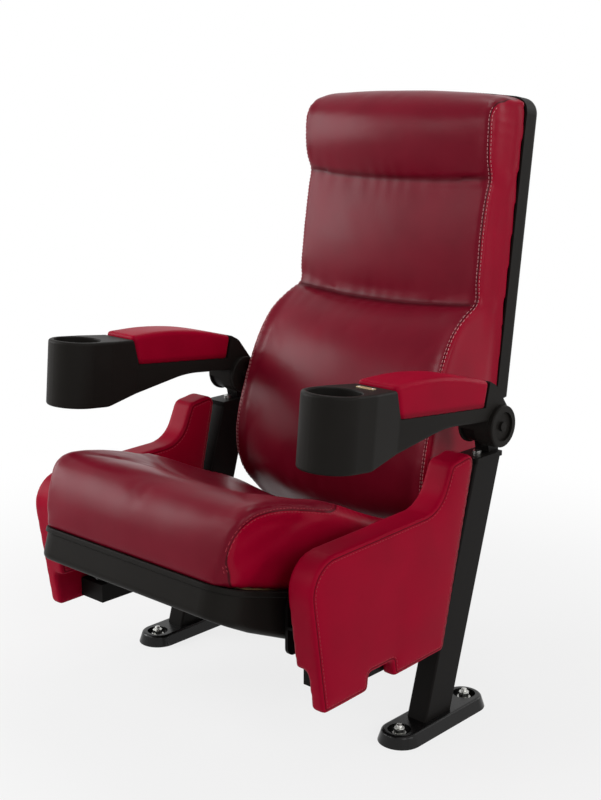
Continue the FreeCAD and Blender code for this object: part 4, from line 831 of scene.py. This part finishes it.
class CHAIR_OT_back_cushion(bpy.types.Operator):
    """Builds the padded back with its head roll, lumbar roll and side seams"""

    bl_idname = "chair.back_cushion"
    bl_label = "Back cushion"

    def execute(self, context):
        sizes = context.scene.chair_sizes
        solid = merged_mesh("back_cover", "back_cushion")
        piece = remeshed("back_cover", solid, sizes.cushion_grid, CUSHION_GRID_ROUNDS)
        mesh = piece.data
        points = mesh_points(mesh)
        x, across, up = local_axes(points, BACK_ORIGIN, BACK_LEAN)
        table = band_table(up, np.abs(x), spread=3)
        front = ease(-across, *BACK_FACE)
        set_points(mesh, self.shaped(points, front, sizes))
        lumbar_share = 1.0 - ease(up, sizes.lumbar_seam - LUMBAR_FADE, sizes.lumbar_seam)
        fuller_edges(mesh, sizes.edge_swell * lumbar_share, BACK_LEAN, False)
        x, across, up = local_axes(mesh_points(mesh), BACK_ORIGIN, BACK_LEAN)
        head, lumbar = tuck_distances(x, up, sizes)
        relax(mesh, TUCK_ROUNDS, np.maximum(bell(head, TUCK_RELAX), bell(lumbar, TUCK_RELAX)))
        seam = back_seam_distance(mesh_points(mesh), sizes, table)
        pins = np.maximum.reduce((
            1.0 - ease(-across, *BACK_RIM),
            front * bell(seam, BACK_SEAM_HOLD),
            front * bell(head, TUCK_HOLD),
            front * bell(lumbar, TUCK_HOLD),
        ))
        fill_cover(piece, pins, sizes.cushion_inset, sizes.cushion_cap, sizes, CUSHION_ROUNDS)
        self.sewn(mesh, front, sizes, table)
        cover_piece(piece, "rocker", ("back_cushion",), "burgundy_cover")
        self.stitches(piece, sizes, table)
        return {"FINISHED"}

    def shaped(self, points, front, sizes):
        """The cover's points with the sag, in a bell about each tuck, and the sides spread to the shell."""
        x, across, up = local_axes(points, BACK_ORIGIN, BACK_LEAN)
        reach = bell(up - sizes.head_seam, TUCK_REACH) + bell(up - sizes.lumbar_seam, TUCK_REACH)
        spread = ease(across, *BACK_FLANK) * ease(np.abs(x), *BACK_SIDE)
        wide = x + np.sign(x) * (sizes.back_flare - np.abs(x)) * spread
        return world_point(wide, across, up - tuck_sag(x, sizes) * reach * front, BACK_ORIGIN, BACK_LEAN)

    def sewn(self, mesh, front, sizes, table):
        """Presses the tucks, seams, folds, puckers and a soft unevenness into the filled cover, and marks
        painted shade along the tucks.
        """
        points = mesh_points(mesh)
        x, _, up = local_axes(points, BACK_ORIGIN, BACK_LEAN)
        seam = back_seam_distance(points, sizes, table)
        inside = ease(seam, *BACK_INSIDE) * front
        head, lumbar = tuck_distances(x, up, sizes)
        tucks = (bell(head, sizes.tuck_width) + bell(lumbar, sizes.tuck_width)) * inside
        side = bell(seam, sizes.seam_width) * front
        near_tuck = bell(head, HEAD_FOLDS) + bell(lumbar, LUMBAR_FOLDS)
        folds = ripples(x, wave=0.034, wander=1.7, drift=31.0) * near_tuck * inside
        puckers = ripples(up, wave=0.017, wander=1.3, drift=47.0) * bell(seam, BACK_PUCKERS)
        pucker_share = 0.35 + 0.65 * ease(up, *HEAD_SIDES)
        depth = (
            sizes.tuck_depth * tucks
            + sizes.seam_depth * side
            + 0.0003 * folds
            + 0.0005 * puckers * pucker_share * front
            + 0.0006 * uneven(points, wave=0.150, seed=0.7) * inside
            + 0.00015 * uneven(points, wave=0.055, seed=1.9) * inside
        )
        press(mesh, depth)
        # Painted shade: a narrow band along each tuck's line, on the face inside the seams, darkens the
        # leather's colour
        write_marks(mesh, seam, bell(np.minimum(np.abs(head), np.abs(lumbar)), TUCK_SHADE) * inside)

    def stitches(self, piece, sizes, table):
        """Two rows of thread beside each side seam, laid on the finished cover from the front."""
        tree = surface_tree(piece)
        grids = []
        heights = np.arange(*BACK_STITCHES, sizes.stitch_pitch / PITCH_STEPS)
        half = back_half_width(heights, table) - sizes.back_seam
        ahead = world_point(0.0, 1.0, 0.0, (0.0, 0.0), BACK_LEAN)
        for side in (-1.0, 1.0):
            for offset in (-0.75 * sizes.stitch_offset, 0.35 * sizes.stitch_offset):
                aside = side * (half + offset)
                start = world_point(aside, -RAY_REACH, heights, BACK_ORIGIN, BACK_LEAN)
                points, _, found = cast(tree, start, np.tile(ahead, (len(start), 1)))
                grids.extend(stitch_row(*settled(tree, points[found]), sizes))
        thread_piece("back_stitches", grids, "rocker", "thread")


# Starts and ends of shares on the seat, in metres: the face, the ear and the lip's height are counted up,
# the rears along the seat, the lip's beyond from the deck's edge
SEAT_FACE = (0.006, 0.022)
SEAT_EAR = (0.060, 0.095)
SEAT_REAR = (0.450, 0.490)
LIP_BEYOND = (0.001, 0.008)
LIP_HEIGHT = (0.0, 0.030)
LIP_REAR = (0.38, 0.42)
STITCHES_START = 0.014
STITCHES_END = 0.455
GUSSET_INSIDE = 0.018

# Widths of the bells about the seat's seams
SEAT_SEAM_HOLD = 0.012
SEAT_PUCKERS = 0.016
EAR_PUCKERS = 0.060


def seat_seam_distance(points, sizes, table):
    """Signed distance from the seat's seams: negative on the side gussets, positive elsewhere.

    A gusset ends at the front corner's seam and below the seam that follows the bolster's crest.
    """
    x, across, up = local_axes(points, SEAT_ORIGIN, SEAT_FALL)
    crest = np.interp(np.maximum(across, sizes.ear), *table)
    top = up - crest + sizes.gusset_drop
    front = sizes.seat_seam - np.abs(x) - 0.6 * np.maximum(across - 2.0 * sizes.ear, 0.0)
    middle = sizes.seat_seam - GUSSET_INSIDE - np.abs(x)
    return np.maximum.reduce((top, front, middle))


class CHAIR_OT_seat_cushion(bpy.types.Operator):
    """Builds the padded seat with its two side gussets"""

    bl_idname = "chair.seat_cushion"
    bl_label = "Seat cushion"

    def execute(self, context):
        sizes = context.scene.chair_sizes
        solid = merged_mesh("seat_cover", "seat_cushion")
        piece = remeshed("seat_cover", solid, sizes.cushion_grid, CUSHION_GRID_ROUNDS)
        mesh = piece.data
        points = mesh_points(mesh)
        _, across, up = local_axes(points, SEAT_ORIGIN, SEAT_FALL)
        table = band_table(across, up, spread=2)
        seam = seat_seam_distance(points, sizes, table)
        raised = ease(up, *SEAT_FACE)
        set_points(mesh, self.lipped(points, sizes))
        fuller_edges(mesh, np.full(len(points), sizes.edge_swell), SEAT_FALL, True)
        pins = np.maximum.reduce((
            1.0 - raised,
            raised * bell(seam, SEAT_SEAM_HOLD),
            ease(across, *SEAT_REAR),
        ))
        fill_cover(piece, pins, sizes.cushion_inset, sizes.cushion_cap, sizes, CUSHION_ROUNDS)
        self.sewn(mesh, raised, sizes, table)
        cover_piece(piece, "rocker", ("seat_cushion",), "burgundy_cover")
        self.stitches(piece, sizes, table)
        return {"FINISHED"}

    def lipped(self, points, sizes):
        """The cover's points with the lower edge, where it is beyond the deck, drawn down to the pan."""
        x, across, up = local_axes(points, SEAT_ORIGIN, SEAT_FALL)
        deck = local_axes(mesh_points(NODES["seat_deck"].data), SEAT_ORIGIN, SEAT_FALL)
        beyond = np.maximum(np.abs(x) - deck[0].max(), deck[1].min() - across)
        low = 1.0 - ease(up, *LIP_HEIGHT)
        ahead = 1.0 - ease(across, *LIP_REAR)
        share = ease(beyond, *LIP_BEYOND) * low * ahead
        return world_point(x, across, up - sizes.seat_lip * share, SEAT_ORIGIN, SEAT_FALL)

    def sewn(self, mesh, raised, sizes, table):
        """Presses the seams, puckers and a soft unevenness into the filled cover."""
        points = mesh_points(mesh)
        _, across, up = local_axes(points, SEAT_ORIGIN, SEAT_FALL)
        seam = seat_seam_distance(points, sizes, table)
        side = bell(seam, sizes.seam_width) * raised
        near = bell(seam, SEAT_PUCKERS) * raised
        puckers = ripples(across + up, wave=0.015, wander=1.2, drift=39.0) * near
        corner = bell(across - sizes.ear, EAR_PUCKERS) * ease(up, *SEAT_EAR)
        depth = (
            sizes.seam_depth * side
            + (0.0002 + 0.0010 * corner) * puckers
            + 0.0008 * uneven(points, wave=0.170, seed=2.9) * raised
            + 0.0002 * uneven(points, wave=0.060, seed=0.4) * raised
        )
        press(mesh, depth)
        write_marks(mesh, seam, 0.0)

    def stitches(self, piece, sizes, table):
        """Thread beside each gusset's seam: up the front corner and back along the bolster."""
        tree = surface_tree(piece)
        step = sizes.stitch_pitch / PITCH_STEPS
        crest = np.interp(sizes.ear, *table) - sizes.gusset_drop
        climb = np.arange(STITCHES_START, crest, step)
        run = np.arange(sizes.ear + STITCHES_START, STITCHES_END, step)
        height = np.interp(run, *table) - sizes.gusset_drop
        grids = []
        for side in (-1.0, 1.0):
            slant = world_point(-side * 0.5, 0.866, 0.0, (0.0, 0.0), SEAT_FALL)
            for row in (-1.0, 1.0):
                x = side * (sizes.seat_seam + row * 0.7 * sizes.stitch_offset)
                corner = world_point(x, sizes.ear, climb, SEAT_ORIGIN, SEAT_FALL)
                start = corner - slant * (0.5 * RAY_REACH)
                grids.extend(stitch_row(*cast(tree, start, np.tile(slant, (len(start), 1))), sizes))
                rise = height + row * sizes.stitch_offset
                start = world_point(side * 0.35, run, rise, SEAT_ORIGIN, SEAT_FALL)
                inward = np.tile(np.array((-side, 0.0, 0.0)), (len(start), 1))
                grids.extend(stitch_row(*cast(tree, start, inward), sizes))
        thread_piece("seat_stitches", grids, "rocker", "red_thread")


# Starts and ends of shares on a panel: metres from the plane between its layers, and how squarely the
# surface faces sideways
PANEL_AWAY = (0.010, 0.018)
PANEL_FACING = (0.80, 0.97)
PANEL_SEAM_WIDTH = 0.0026
PANEL_EDGE_SEAM = -0.004
LOOP_PARTS = 60
LOOP_REACH = 12
ROW_CLEARANCE = 0.03


def face_loop(node, face_x):
    """The outline of a node's flat face at one X, as points from the same corner each run."""
    mesh = merged_mesh("face_loop", node)
    shape = bmesh.new()
    shape.from_mesh(mesh)
    bpy.data.meshes.remove(mesh)
    flat = [face for face in shape.faces if all(abs(v.co.x - face_x) < MERGE_GAP for v in face.verts)]
    members = set(flat)
    follows = {}
    for face in flat:
        for loop in face.loops:
            other = [near for near in loop.edge.link_faces if near is not face]
            if not other or other[0] not in members:
                follows[loop.vert] = loop.link_loop_next.vert
    loops = []
    while follows:
        first = next(iter(follows))
        chain = [first]
        vertex = follows.pop(first)
        while vertex is not first:
            chain.append(vertex)
            vertex = follows.pop(vertex)
        loops.append(np.array([vertex.co[:] for vertex in chain + [first]]))
    shape.free()
    return max(loops, key=len)


def mirrored(name, mesh):
    """A copy of a mesh mirrored to the other side, with its faces still outward."""
    copy = mesh.copy()
    copy.name = name
    set_points(copy, mesh_points(copy) * np.array((-1.0, 1.0, 1.0)))
    copy.flip_normals()
    return copy


def inside_loop(points, loop):
    """Whether each point is inside a loop in the side view: a ray meets the loop an odd number of times."""
    y, z = points[:, 1], points[:, 2]
    inside = np.zeros(len(points), dtype=bool)
    for (_, y0, z0), (_, y1, z1) in zip(loop[:-1], loop[1:]):
        spans = (z0 > z) != (z1 > z)
        if spans.any():
            crossing = y0 + (z[spans] - z0) * (y1 - y0) / (z1 - z0)
            inside[np.flatnonzero(spans)[y[spans] < crossing]] ^= True
    return inside


def loop_distance(points, loop):
    """Signed distance to a loop in the side view, positive inside it."""
    path = along_path(loop, MILLIMETRE)
    nearest = np.full(len(points), np.inf)
    for part in np.array_split(path[:, 1:], LOOP_PARTS):
        gap = points[:, None, 1:] - part[None, :, :]
        nearest = np.minimum(nearest, np.sqrt((gap ** 2).sum(axis=2)).min(axis=1))
    return np.where(inside_loop(points, loop), nearest, -nearest)


class CHAIR_OT_side_panels(bpy.types.Operator):
    """Builds the padded side panels, each one cover over its two layers, with border seams"""

    bl_idname = "chair.side_panels"
    bl_label = "Side panels"

    def execute(self, context):
        sizes = context.scene.chair_sizes
        outer_low, outer_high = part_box("left_outer_panel")
        inner_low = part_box("left_inner_panel")[0]
        split = outer_low.x
        inner = merged_mesh("inner", "left_inner_panel")
        points = mesh_points(inner)
        points[points[:, 0] > split - sizes.panel_overlap, 0] += sizes.panel_overlap
        set_points(inner, points)
        whole = joined_mesh("left_panel_cover", (merged_mesh("outer", "left_outer_panel"), inner))
        piece = remeshed("left_panel_cover", whole, sizes.panel_grid, PANEL_GRID_ROUNDS)
        mesh = piece.data
        outer_loop = face_loop("left_outer_panel", outer_high.x)
        inner_loop = face_loop("left_inner_panel", inner_low.x)
        away = np.abs(mesh_points(mesh)[:, 0] - split)
        facing = np.abs(mesh_normals(mesh)[:, 0])
        middle = ease(away, *PANEL_AWAY) * ease(facing, *PANEL_FACING)
        fill_cover(piece, 1.0 - FREE_SHARE * middle, sizes.panel_inset, sizes.panel_cap, sizes)
        points = mesh_points(mesh)
        outer_seam = loop_distance(points, outer_loop)
        seam = np.where(points[:, 0] > split, outer_seam, loop_distance(points, inner_loop))
        between = np.abs(points[:, 0] - split) < PANEL_AWAY[0]
        seam = np.where(between, np.minimum(seam, PANEL_EDGE_SEAM), seam)
        groove = sizes.seam_depth * 0.6 * bell(seam, PANEL_SEAM_WIDTH)
        press(mesh, groove + 0.0003 * uneven(points, wave=0.09, seed=1.1) * middle)
        write_marks(mesh, seam, 0.0)
        subdivide(piece)
        rows = (
            self.row(piece, outer_loop, 1.0, sizes),
            self.row(piece, inner_loop, -1.0, sizes),
        )
        piece.modifiers.clear()
        grids = np.concatenate(rows)
        other = add_object("right_panel_cover", mirrored("right_panel_cover", mesh))
        for side, cover in (("left", piece), ("right", other)):
            nodes = (side + "_outer_panel", side + "_inner_panel")
            cover_piece(cover, "standards", nodes, "crimson_cover")
        thread_piece("left_panel_stitches", grids, "standards", "red_thread")
        turned = grids * np.array((-1.0, 1.0, 1.0))
        thread_piece("right_panel_stitches", turned, "standards", "red_thread")
        return {"FINISHED"}

    def row(self, piece, loop, outward, sizes):
        """One row of thread beside a seam, laid on the cover from the face's side."""
        tree = surface_tree(piece)
        even = along_path(loop, sizes.stitch_pitch / PITCH_STEPS)
        ahead = np.roll(even, -LOOP_REACH, axis=0) - np.roll(even, LOOP_REACH, axis=0)
        ahead /= np.linalg.norm(ahead, axis=1, keepdims=True)
        inward = np.stack((np.zeros(len(even)), -ahead[:, 2], ahead[:, 1]), axis=1)
        area = np.sum(even[:-1, 1] * even[1:, 2] - even[1:, 1] * even[:-1, 2])
        start = even + inward * math.copysign(sizes.stitch_offset, area)
        start[:, 0] += outward * ROW_CLEARANCE
        aim = np.tile(np.array((-outward, 0.0, 0.0)), (len(start), 1))
        return stitch_row(*cast(tree, start, aim), sizes)


# Starts and ends of shares on an arm pad: metres above its lower edge, over which the painted shade fades,
# and how squarely the surface faces up. NO_SEAM is the seam distance of a cover without seams.
PAD_EDGE = (0.004, 0.012)
PAD_FACING = (0.90, 0.99)
NO_SEAM = -0.01


class CHAIR_OT_arm_pads(bpy.types.Operator):
    """Builds the padded rests of both arms"""

    bl_idname = "chair.arm_pads"
    bl_label = "Arm pads"

    def execute(self, context):
        sizes = context.scene.chair_sizes
        solid = merged_mesh("left_pad", "left_arm_pad")
        piece = remeshed("left_arm_pad_cover", solid, sizes.pad_grid, PAD_GRID_ROUNDS)
        mesh = piece.data
        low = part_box("left_arm_pad")[0]
        right_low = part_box("right_arm_pad")[0]
        points = mesh_points(mesh)
        height = (points[:, 2] - low.z) + (points[:, 1] - low.y) * math.tan(ARM_TILT)
        low_edge_shade = 1.0 - ease(height - height.min(), *PAD_EDGE)
        top = ease(mesh_normals(mesh)[:, 2], *PAD_FACING)
        fill_cover(piece, 1.0 - FREE_SHARE * top, 0.0, sizes.panel_cap, sizes)
        press(mesh, 0.0002 * uneven(mesh_points(mesh), wave=0.06, seed=0.3) * top)
        # Painted shade: the pad's colour darkened towards its lower edge; the cover has no seam
        write_marks(mesh, NO_SEAM, 0.6 * low_edge_shade)
        copy = mesh.copy()
        set_points(copy, mesh_points(copy) + np.array(right_low - low))
        other = add_object("right_arm_pad_cover", copy)
        for side, cover in (("left", piece), ("right", other)):
            cover_piece(cover, side + "_armrest", (side + "_arm_pad",), "crimson_cover")
        return {"FINISHED"}


def tube_grid(path, radius, sides):
    """A tube's rings: circles of one radius across the direction of a path."""
    ahead = np.gradient(path, axis=0)
    ahead /= np.linalg.norm(ahead, axis=1, keepdims=True)
    across = np.cross(ahead, np.array((0.0, 0.0, 1.0)))
    across /= np.linalg.norm(across, axis=1, keepdims=True)
    up = np.cross(across, ahead)
    angle = ring_angles(sides)[None, :, None]
    ring = across[:, None, :] * np.cos(angle) + up[:, None, :] * np.sin(angle)
    return path[:, None, :] + radius * ring


COIL_RINGS = 260
WIRE_SIDES = 10


class CHAIR_OT_springs(bpy.types.Operator):
    """Builds the four coil springs, each fitted to the box of its CAD part"""

    bl_idname = "chair.springs"
    bl_label = "Springs"

    wire: length_property("Wire", "Radius of the springs' wire", 2.5)
    turns: bpy.props.FloatProperty(name="Turns", description="Turns of a spring", default=5.0)

    def execute(self, context):
        for side in ("left", "right"):
            for end in ("front", "rear"):
                node = f"{side}_{end}_spring"
                low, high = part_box(node)
                self.spring(node, low, high)
        return {"FINISHED"}

    def spring(self, node, low, high):
        """A helix: the angle grows evenly, the height grows evenly but for the flat end turns."""
        share = np.linspace(0.0, 1.0, COIL_RINGS)
        angle = share * self.turns * FULL_TURN
        radius = 0.5 * (high.x - low.x) - self.wire
        flat = 0.5 / self.turns
        rise = np.clip((share - flat) / (1.0 - 2.0 * flat), 0.0, 1.0)
        rise = 0.5 * (rise + ease(rise, 0.0, 1.0))
        z = low.z + self.wire + (high.z - low.z - 2.0 * self.wire) * rise
        x = 0.5 * (low.x + high.x) + radius * np.cos(angle)
        y = 0.5 * (low.y + high.y) + radius * np.sin(angle)
        path = np.stack((x, y, z), axis=1)
        mesh = mesh_from_grid(node + "_coil", [tube_grid(path, self.wire, WIRE_SIDES)])
        smooth_faces(mesh)
        mesh.materials.append(finish("spring_steel"))
        coil = add_object(node + "_coil", mesh)
        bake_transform(coil)
        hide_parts(node)


def upright_grid(radius, height, angle, centre):
    """Rings about a vertical axis, with a radius for each height and angle."""
    x = centre[0] + radius * np.cos(angle)
    y = centre[1] + radius * np.sin(angle)
    z = centre[2] + np.broadcast_to(height[:, None], x.shape)
    return np.stack((x, y, z), axis=-1)


WASHER_HEIGHT = 2.0 * MILLIMETRE
WASHER_EDGE = 0.4 * MILLIMETRE
WASHER_SIDES = 40
NUT_SIDES = 72
STUD_SIDES = 32
STUD_RINGS = 60
THREAD_DEPTH = 0.35 * MILLIMETRE


class CHAIR_OT_anchors(bpy.types.Operator):
    """Builds a washer, a hexagon nut and a threaded stud in each floor anchor"""

    bl_idname = "chair.anchors"
    bl_label = "Floor anchors"

    post_x: length_property("Standard", "Distance of the standards from the middle", 305.0)
    anchor_y: length_property("Anchor", "Distance of the anchors from the middle", 92.0)
    seat_z: length_property("Recess", "Height of the recess's floor", 13.0)
    washer: length_property("Washer", "Radius of the washer", 12.0)
    flats: length_property("Nut", "Half of the nut's width across its flats", 8.5)
    nut_height: length_property("Nut height", "Height of the nut", 9.0)
    stud: length_property("Stud", "Radius of the stud", 5.0)
    stud_height: length_property("Stud height", "Height of the stud above the recess", 17.0)
    thread_pitch: length_property("Thread pitch", "Pitch of the stud's thread", 1.5)

    def execute(self, context):
        grids = []
        for x in (-self.post_x, self.post_x):
            for y in (-self.anchor_y, self.anchor_y):
                centre = (x, y, self.seat_z)
                grids.extend((self.washer_grid(centre), self.nut_grid(centre), self.stud_grid(centre)))
        small_piece("anchor_bolts", grids, "standards", "zinc_steel")
        return {"FINISHED"}

    def washer_grid(self, centre):
        """A flat disc with small rounded edges."""
        inner = self.washer - WASHER_EDGE
        radius = np.array((inner, self.washer, self.washer, inner))
        height = np.array((0.0, WASHER_EDGE, WASHER_HEIGHT - WASHER_EDGE, WASHER_HEIGHT))
        return upright_grid(radius[:, None], height, ring_angles(WASHER_SIDES), centre)

    def nut_grid(self, centre):
        """A hexagon whose radius at each height is the lesser of the hexagon's and a chamfer cone's."""
        angle = ring_angles(NUT_SIDES)
        sector = np.mod(angle, math.pi / 3.0) - math.pi / 6.0
        hexagon = self.flats / np.cos(sector)
        share = np.array((0.0, 0.06, 0.12, 0.5, 0.88, 0.94, 1.0))
        height = WASHER_HEIGHT + self.nut_height * share
        ends = np.minimum(share, 1.0 - share) * self.nut_height
        cone = self.flats * 0.98 + ends * 1.7
        radius = np.minimum(hexagon[None, :], cone[:, None])
        return upright_grid(radius, height, angle, centre)

    def stud_grid(self, centre):
        """A rod whose radius has a ridge that climbs by one pitch a turn, with a domed end."""
        angle = ring_angles(STUD_SIDES)
        height = np.linspace(WASHER_HEIGHT, self.stud_height, STUD_RINGS)
        turn = height[:, None] / self.thread_pitch - angle[None, :] / FULL_TURN
        ridge = THREAD_DEPTH * np.abs(2.0 * np.mod(turn, 1.0) - 1.0)
        end = ease(height, self.stud_height - 1.2 * MILLIMETRE, self.stud_height + 0.4 * MILLIMETRE)
        radius = (self.stud - ridge) * (1.0 - 0.5 * end[:, None])
        return upright_grid(radius, height, angle, centre)


SCREW_SIDES = 20
SCREW_RINGS = 7


class CHAIR_OT_plate_screws(bpy.types.Operator):
    """Builds the two small domed screws of the plate on the left arm"""

    bl_idname = "chair.plate_screws"
    bl_label = "Plate screws"

    radius: length_property("Radius", "Radius of a screw's head", 1.9)
    spacing: length_property("Spacing", "Distance of a screw from the plate's middle", 13.5)
    lift: length_property("Lift", "Height of a screw's head", 0.9)

    def execute(self, context):
        low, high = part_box("number_plate")
        tree = surface_tree(NODES["number_plate"])
        middle = 0.5 * (low + high)
        grids = []
        for side in (-1.0, 1.0):
            spot = middle + Vector((side * self.spacing, 0.0, 0.02))
            hit, normal, _, _ = tree.ray_cast(spot, Vector((0.0, 0.0, -1.0)))
            if hit is None:
                raise RuntimeError("a plate screw misses its plate")
            grids.append(self.dome(np.array(hit), np.array(normal)))
        smooth_faces(small_piece("plate_screws", grids, "left_armrest", "zinc_steel"))
        return {"FINISHED"}

    def dome(self, place, normal):
        """Rings whose radius and height follow a quarter ellipse."""
        angle = ring_angles(SCREW_SIDES)[:, None]
        climb = np.linspace(0.0, 0.47 * math.pi, SCREW_RINGS)[:, None]
        first = np.array((1.0, 0.0, 0.0))
        second = np.cross(normal, first)
        ring = np.cos(angle) * first + np.sin(angle) * second
        rise = normal * (self.lift * np.sin(climb))
        spread = self.radius * np.cos(climb)
        return place + rise[:, None, :] + ring[None, :, :] * spread[:, :, None]


class CHAIR_OT_stage(bpy.types.Operator):
    """Sets the camera, the floor, the white surroundings and the lamps"""

    bl_idname = "chair.stage"
    bl_label = "Stage"

    lens: bpy.props.FloatProperty(name="Lens", description="Focal length in millimetres", default=59.5)
    reach: length_property("Reach", "Half width of the floor", 14000.0)

    def execute(self, context):
        scene = context.scene
        scene.view_settings.view_transform = "Standard"
        self.camera(scene)
        self.floor(scene)
        self.surroundings(scene)
        self.lamp(scene, "key", (-1.0, -2.6, 1.9), target=(0.0, 0.0, 0.60), size=0.9, power=16.0)
        self.lamp(scene, "left", (-2.3, -1.3, 1.40), target=(0.0, 0.0, 0.65), size=1.4, power=46.0)
        self.lamp(scene, "fill", (3.9, -2.1, 2.5), target=(0.0, -0.1, 0.5), size=1.6, power=50.0)
        self.lamp(scene, "side", (4.4, 0.9, 1.7), target=(0.0, 0.0, 0.5), size=1.6, power=42.0)
        self.lamp(scene, "top", (-0.2, 0.6, 2.9), target=(0.0, -0.1, 0.4), size=1.0, power=15.0)
        self.lamp(scene, "rear", (1.2, 3.4, 1.9), target=(0.0, 0.2, 0.6), size=1.4, power=16.0)
        return {"FINISHED"}

    def camera(self, scene):
        """The camera that matches the photograph's view."""
        data = bpy.data.cameras.new("view")
        data.lens = self.lens
        data.sensor_width = 36.0
        data.sensor_fit = "AUTO"
        camera = bpy.data.objects.new("view", data)
        camera.location = (1.558, -1.699, 1.0703)
        camera.rotation_euler = (math.radians(90.0 - 13.36), 0.0, math.radians(42.61))
        scene.collection.objects.link(camera)
        scene.camera = camera

    def floor(self, scene):
        """A pale floor that keeps the chair's shadow and meets the white surroundings."""
        signs = ((-1.0, -1.0), (1.0, -1.0), (1.0, 1.0), (-1.0, 1.0))
        corners = [(x * self.reach, y * self.reach, 0.0) for x, y in signs]
        mesh = bpy.data.meshes.new("floor")
        mesh.from_pydata(corners, [], [(0, 1, 2, 3)])
        material = bpy.data.materials.new("Floor")
        tree, shader = node_tree(material)
        colours = scene.chair_colours
        place = tree.nodes.new("ShaderNodeTexCoord")
        cloud = noise(tree, place.outputs["Object"], 0.8, 3.0)
        shade = ramp_value(tree, cloud, 0.99, 1.01)
        tree.links.new(tinted(tree, colours.floor, shade), shader.inputs["Base Color"])
        shader.inputs["Roughness"].default_value = 0.9
        shader.inputs["Specular IOR Level"].default_value = 0.1
        glow = tree.nodes.new("ShaderNodeEmission")
        glow.inputs["Strength"].default_value = 1.0
        far = tree.nodes.new("ShaderNodeVectorMath")
        far.operation = "LENGTH"
        tree.links.new(place.outputs["Object"], far.inputs[0])
        fade = map_range(tree, far.outputs["Value"], 0.5, 1.6, low=0.80, interpolation="SMOOTHSTEP")
        share = math_node(tree, "MULTIPLY", seen_share(tree), fade)
        mix = tree.nodes.new("ShaderNodeMixShader")
        tree.links.new(share, mix.inputs["Fac"])
        tree.links.new(shader.outputs["BSDF"], mix.inputs[1])
        tree.links.new(glow.outputs["Emission"], mix.inputs[2])
        output = next(node for node in tree.nodes if node.type == "OUTPUT_MATERIAL")
        tree.links.new(mix.outputs["Shader"], output.inputs["Surface"])
        mesh.materials.append(material)
        add_object("floor", mesh)

    def surroundings(self, scene):
        """White to the camera, in reflections and through glass, a softer light on the object."""
        world = bpy.data.worlds.new("surroundings")
        world.use_nodes = True
        scene.world = world
        tree = world.node_tree
        tree.nodes.clear()
        output = tree.nodes.new("ShaderNodeOutputWorld")
        light = tree.nodes.new("ShaderNodeBackground")
        strength = ramp_value(tree, seen_share(tree), 0.18, 1.0)
        tree.links.new(strength, light.inputs["Strength"])
        light.inputs["Color"].default_value = (1.0, 1.0, 1.0, 1.0)
        tree.links.new(light.outputs["Background"], output.inputs["Surface"])

    def lamp(self, scene, name, place, target, size, power):
        """A square soft lamp that looks at a target."""
        data = bpy.data.lights.new(name, "AREA")
        data.shape = "SQUARE"
        data.size = size
        data.energy = power
        lamp = bpy.data.objects.new(name, data)
        lamp.location = place
        aim = Vector(target) - Vector(place)
        lamp.rotation_euler = aim.to_track_quat("-Z", "Y").to_euler()
        scene.collection.objects.link(lamp)


class CHAIR_PT_pieces(bpy.types.Panel):
    """Lists the chair's operators"""

    bl_idname = "CHAIR_PT_pieces"
    bl_label = "Chair"
    bl_space_type = "VIEW_3D"
    bl_region_type = "UI"
    bl_category = "Chair"

    def draw(self, context):
        for operator in OPERATORS:
            self.layout.operator(operator.bl_idname)


OPERATORS = (
    CHAIR_OT_hard_parts,
    CHAIR_OT_back_cushion,
    CHAIR_OT_seat_cushion,
    CHAIR_OT_side_panels,
    CHAIR_OT_arm_pads,
    CHAIR_OT_springs,
    CHAIR_OT_anchors,
    CHAIR_OT_plate_screws,
    CHAIR_OT_stage,
)
CLASSES = (ChairColours, ChairSizes, *OPERATORS, CHAIR_PT_pieces)


def register():
    """Registers the classes and the scene's two groups of properties."""
    for item in CLASSES:
        bpy.utils.register_class(item)
    bpy.types.Scene.chair_colours = bpy.props.PointerProperty(type=ChairColours)
    bpy.types.Scene.chair_sizes = bpy.props.PointerProperty(type=ChairSizes)


def unregister():
    """Takes the properties and the classes away again."""
    del bpy.types.Scene.chair_sizes
    del bpy.types.Scene.chair_colours
    for item in reversed(CLASSES):
        bpy.utils.unregister_class(item)


def main():
    """Registers the add-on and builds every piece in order."""
    register()
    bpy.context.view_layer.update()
    bpy.ops.chair.hard_parts()
    bpy.ops.chair.back_cushion()
    bpy.ops.chair.seat_cushion()
    bpy.ops.chair.side_panels()
    bpy.ops.chair.arm_pads()
    bpy.ops.chair.springs()
    bpy.ops.chair.anchors()
    bpy.ops.chair.plate_screws()
    bpy.ops.chair.stage()


if __name__ == "__main__":
    main()
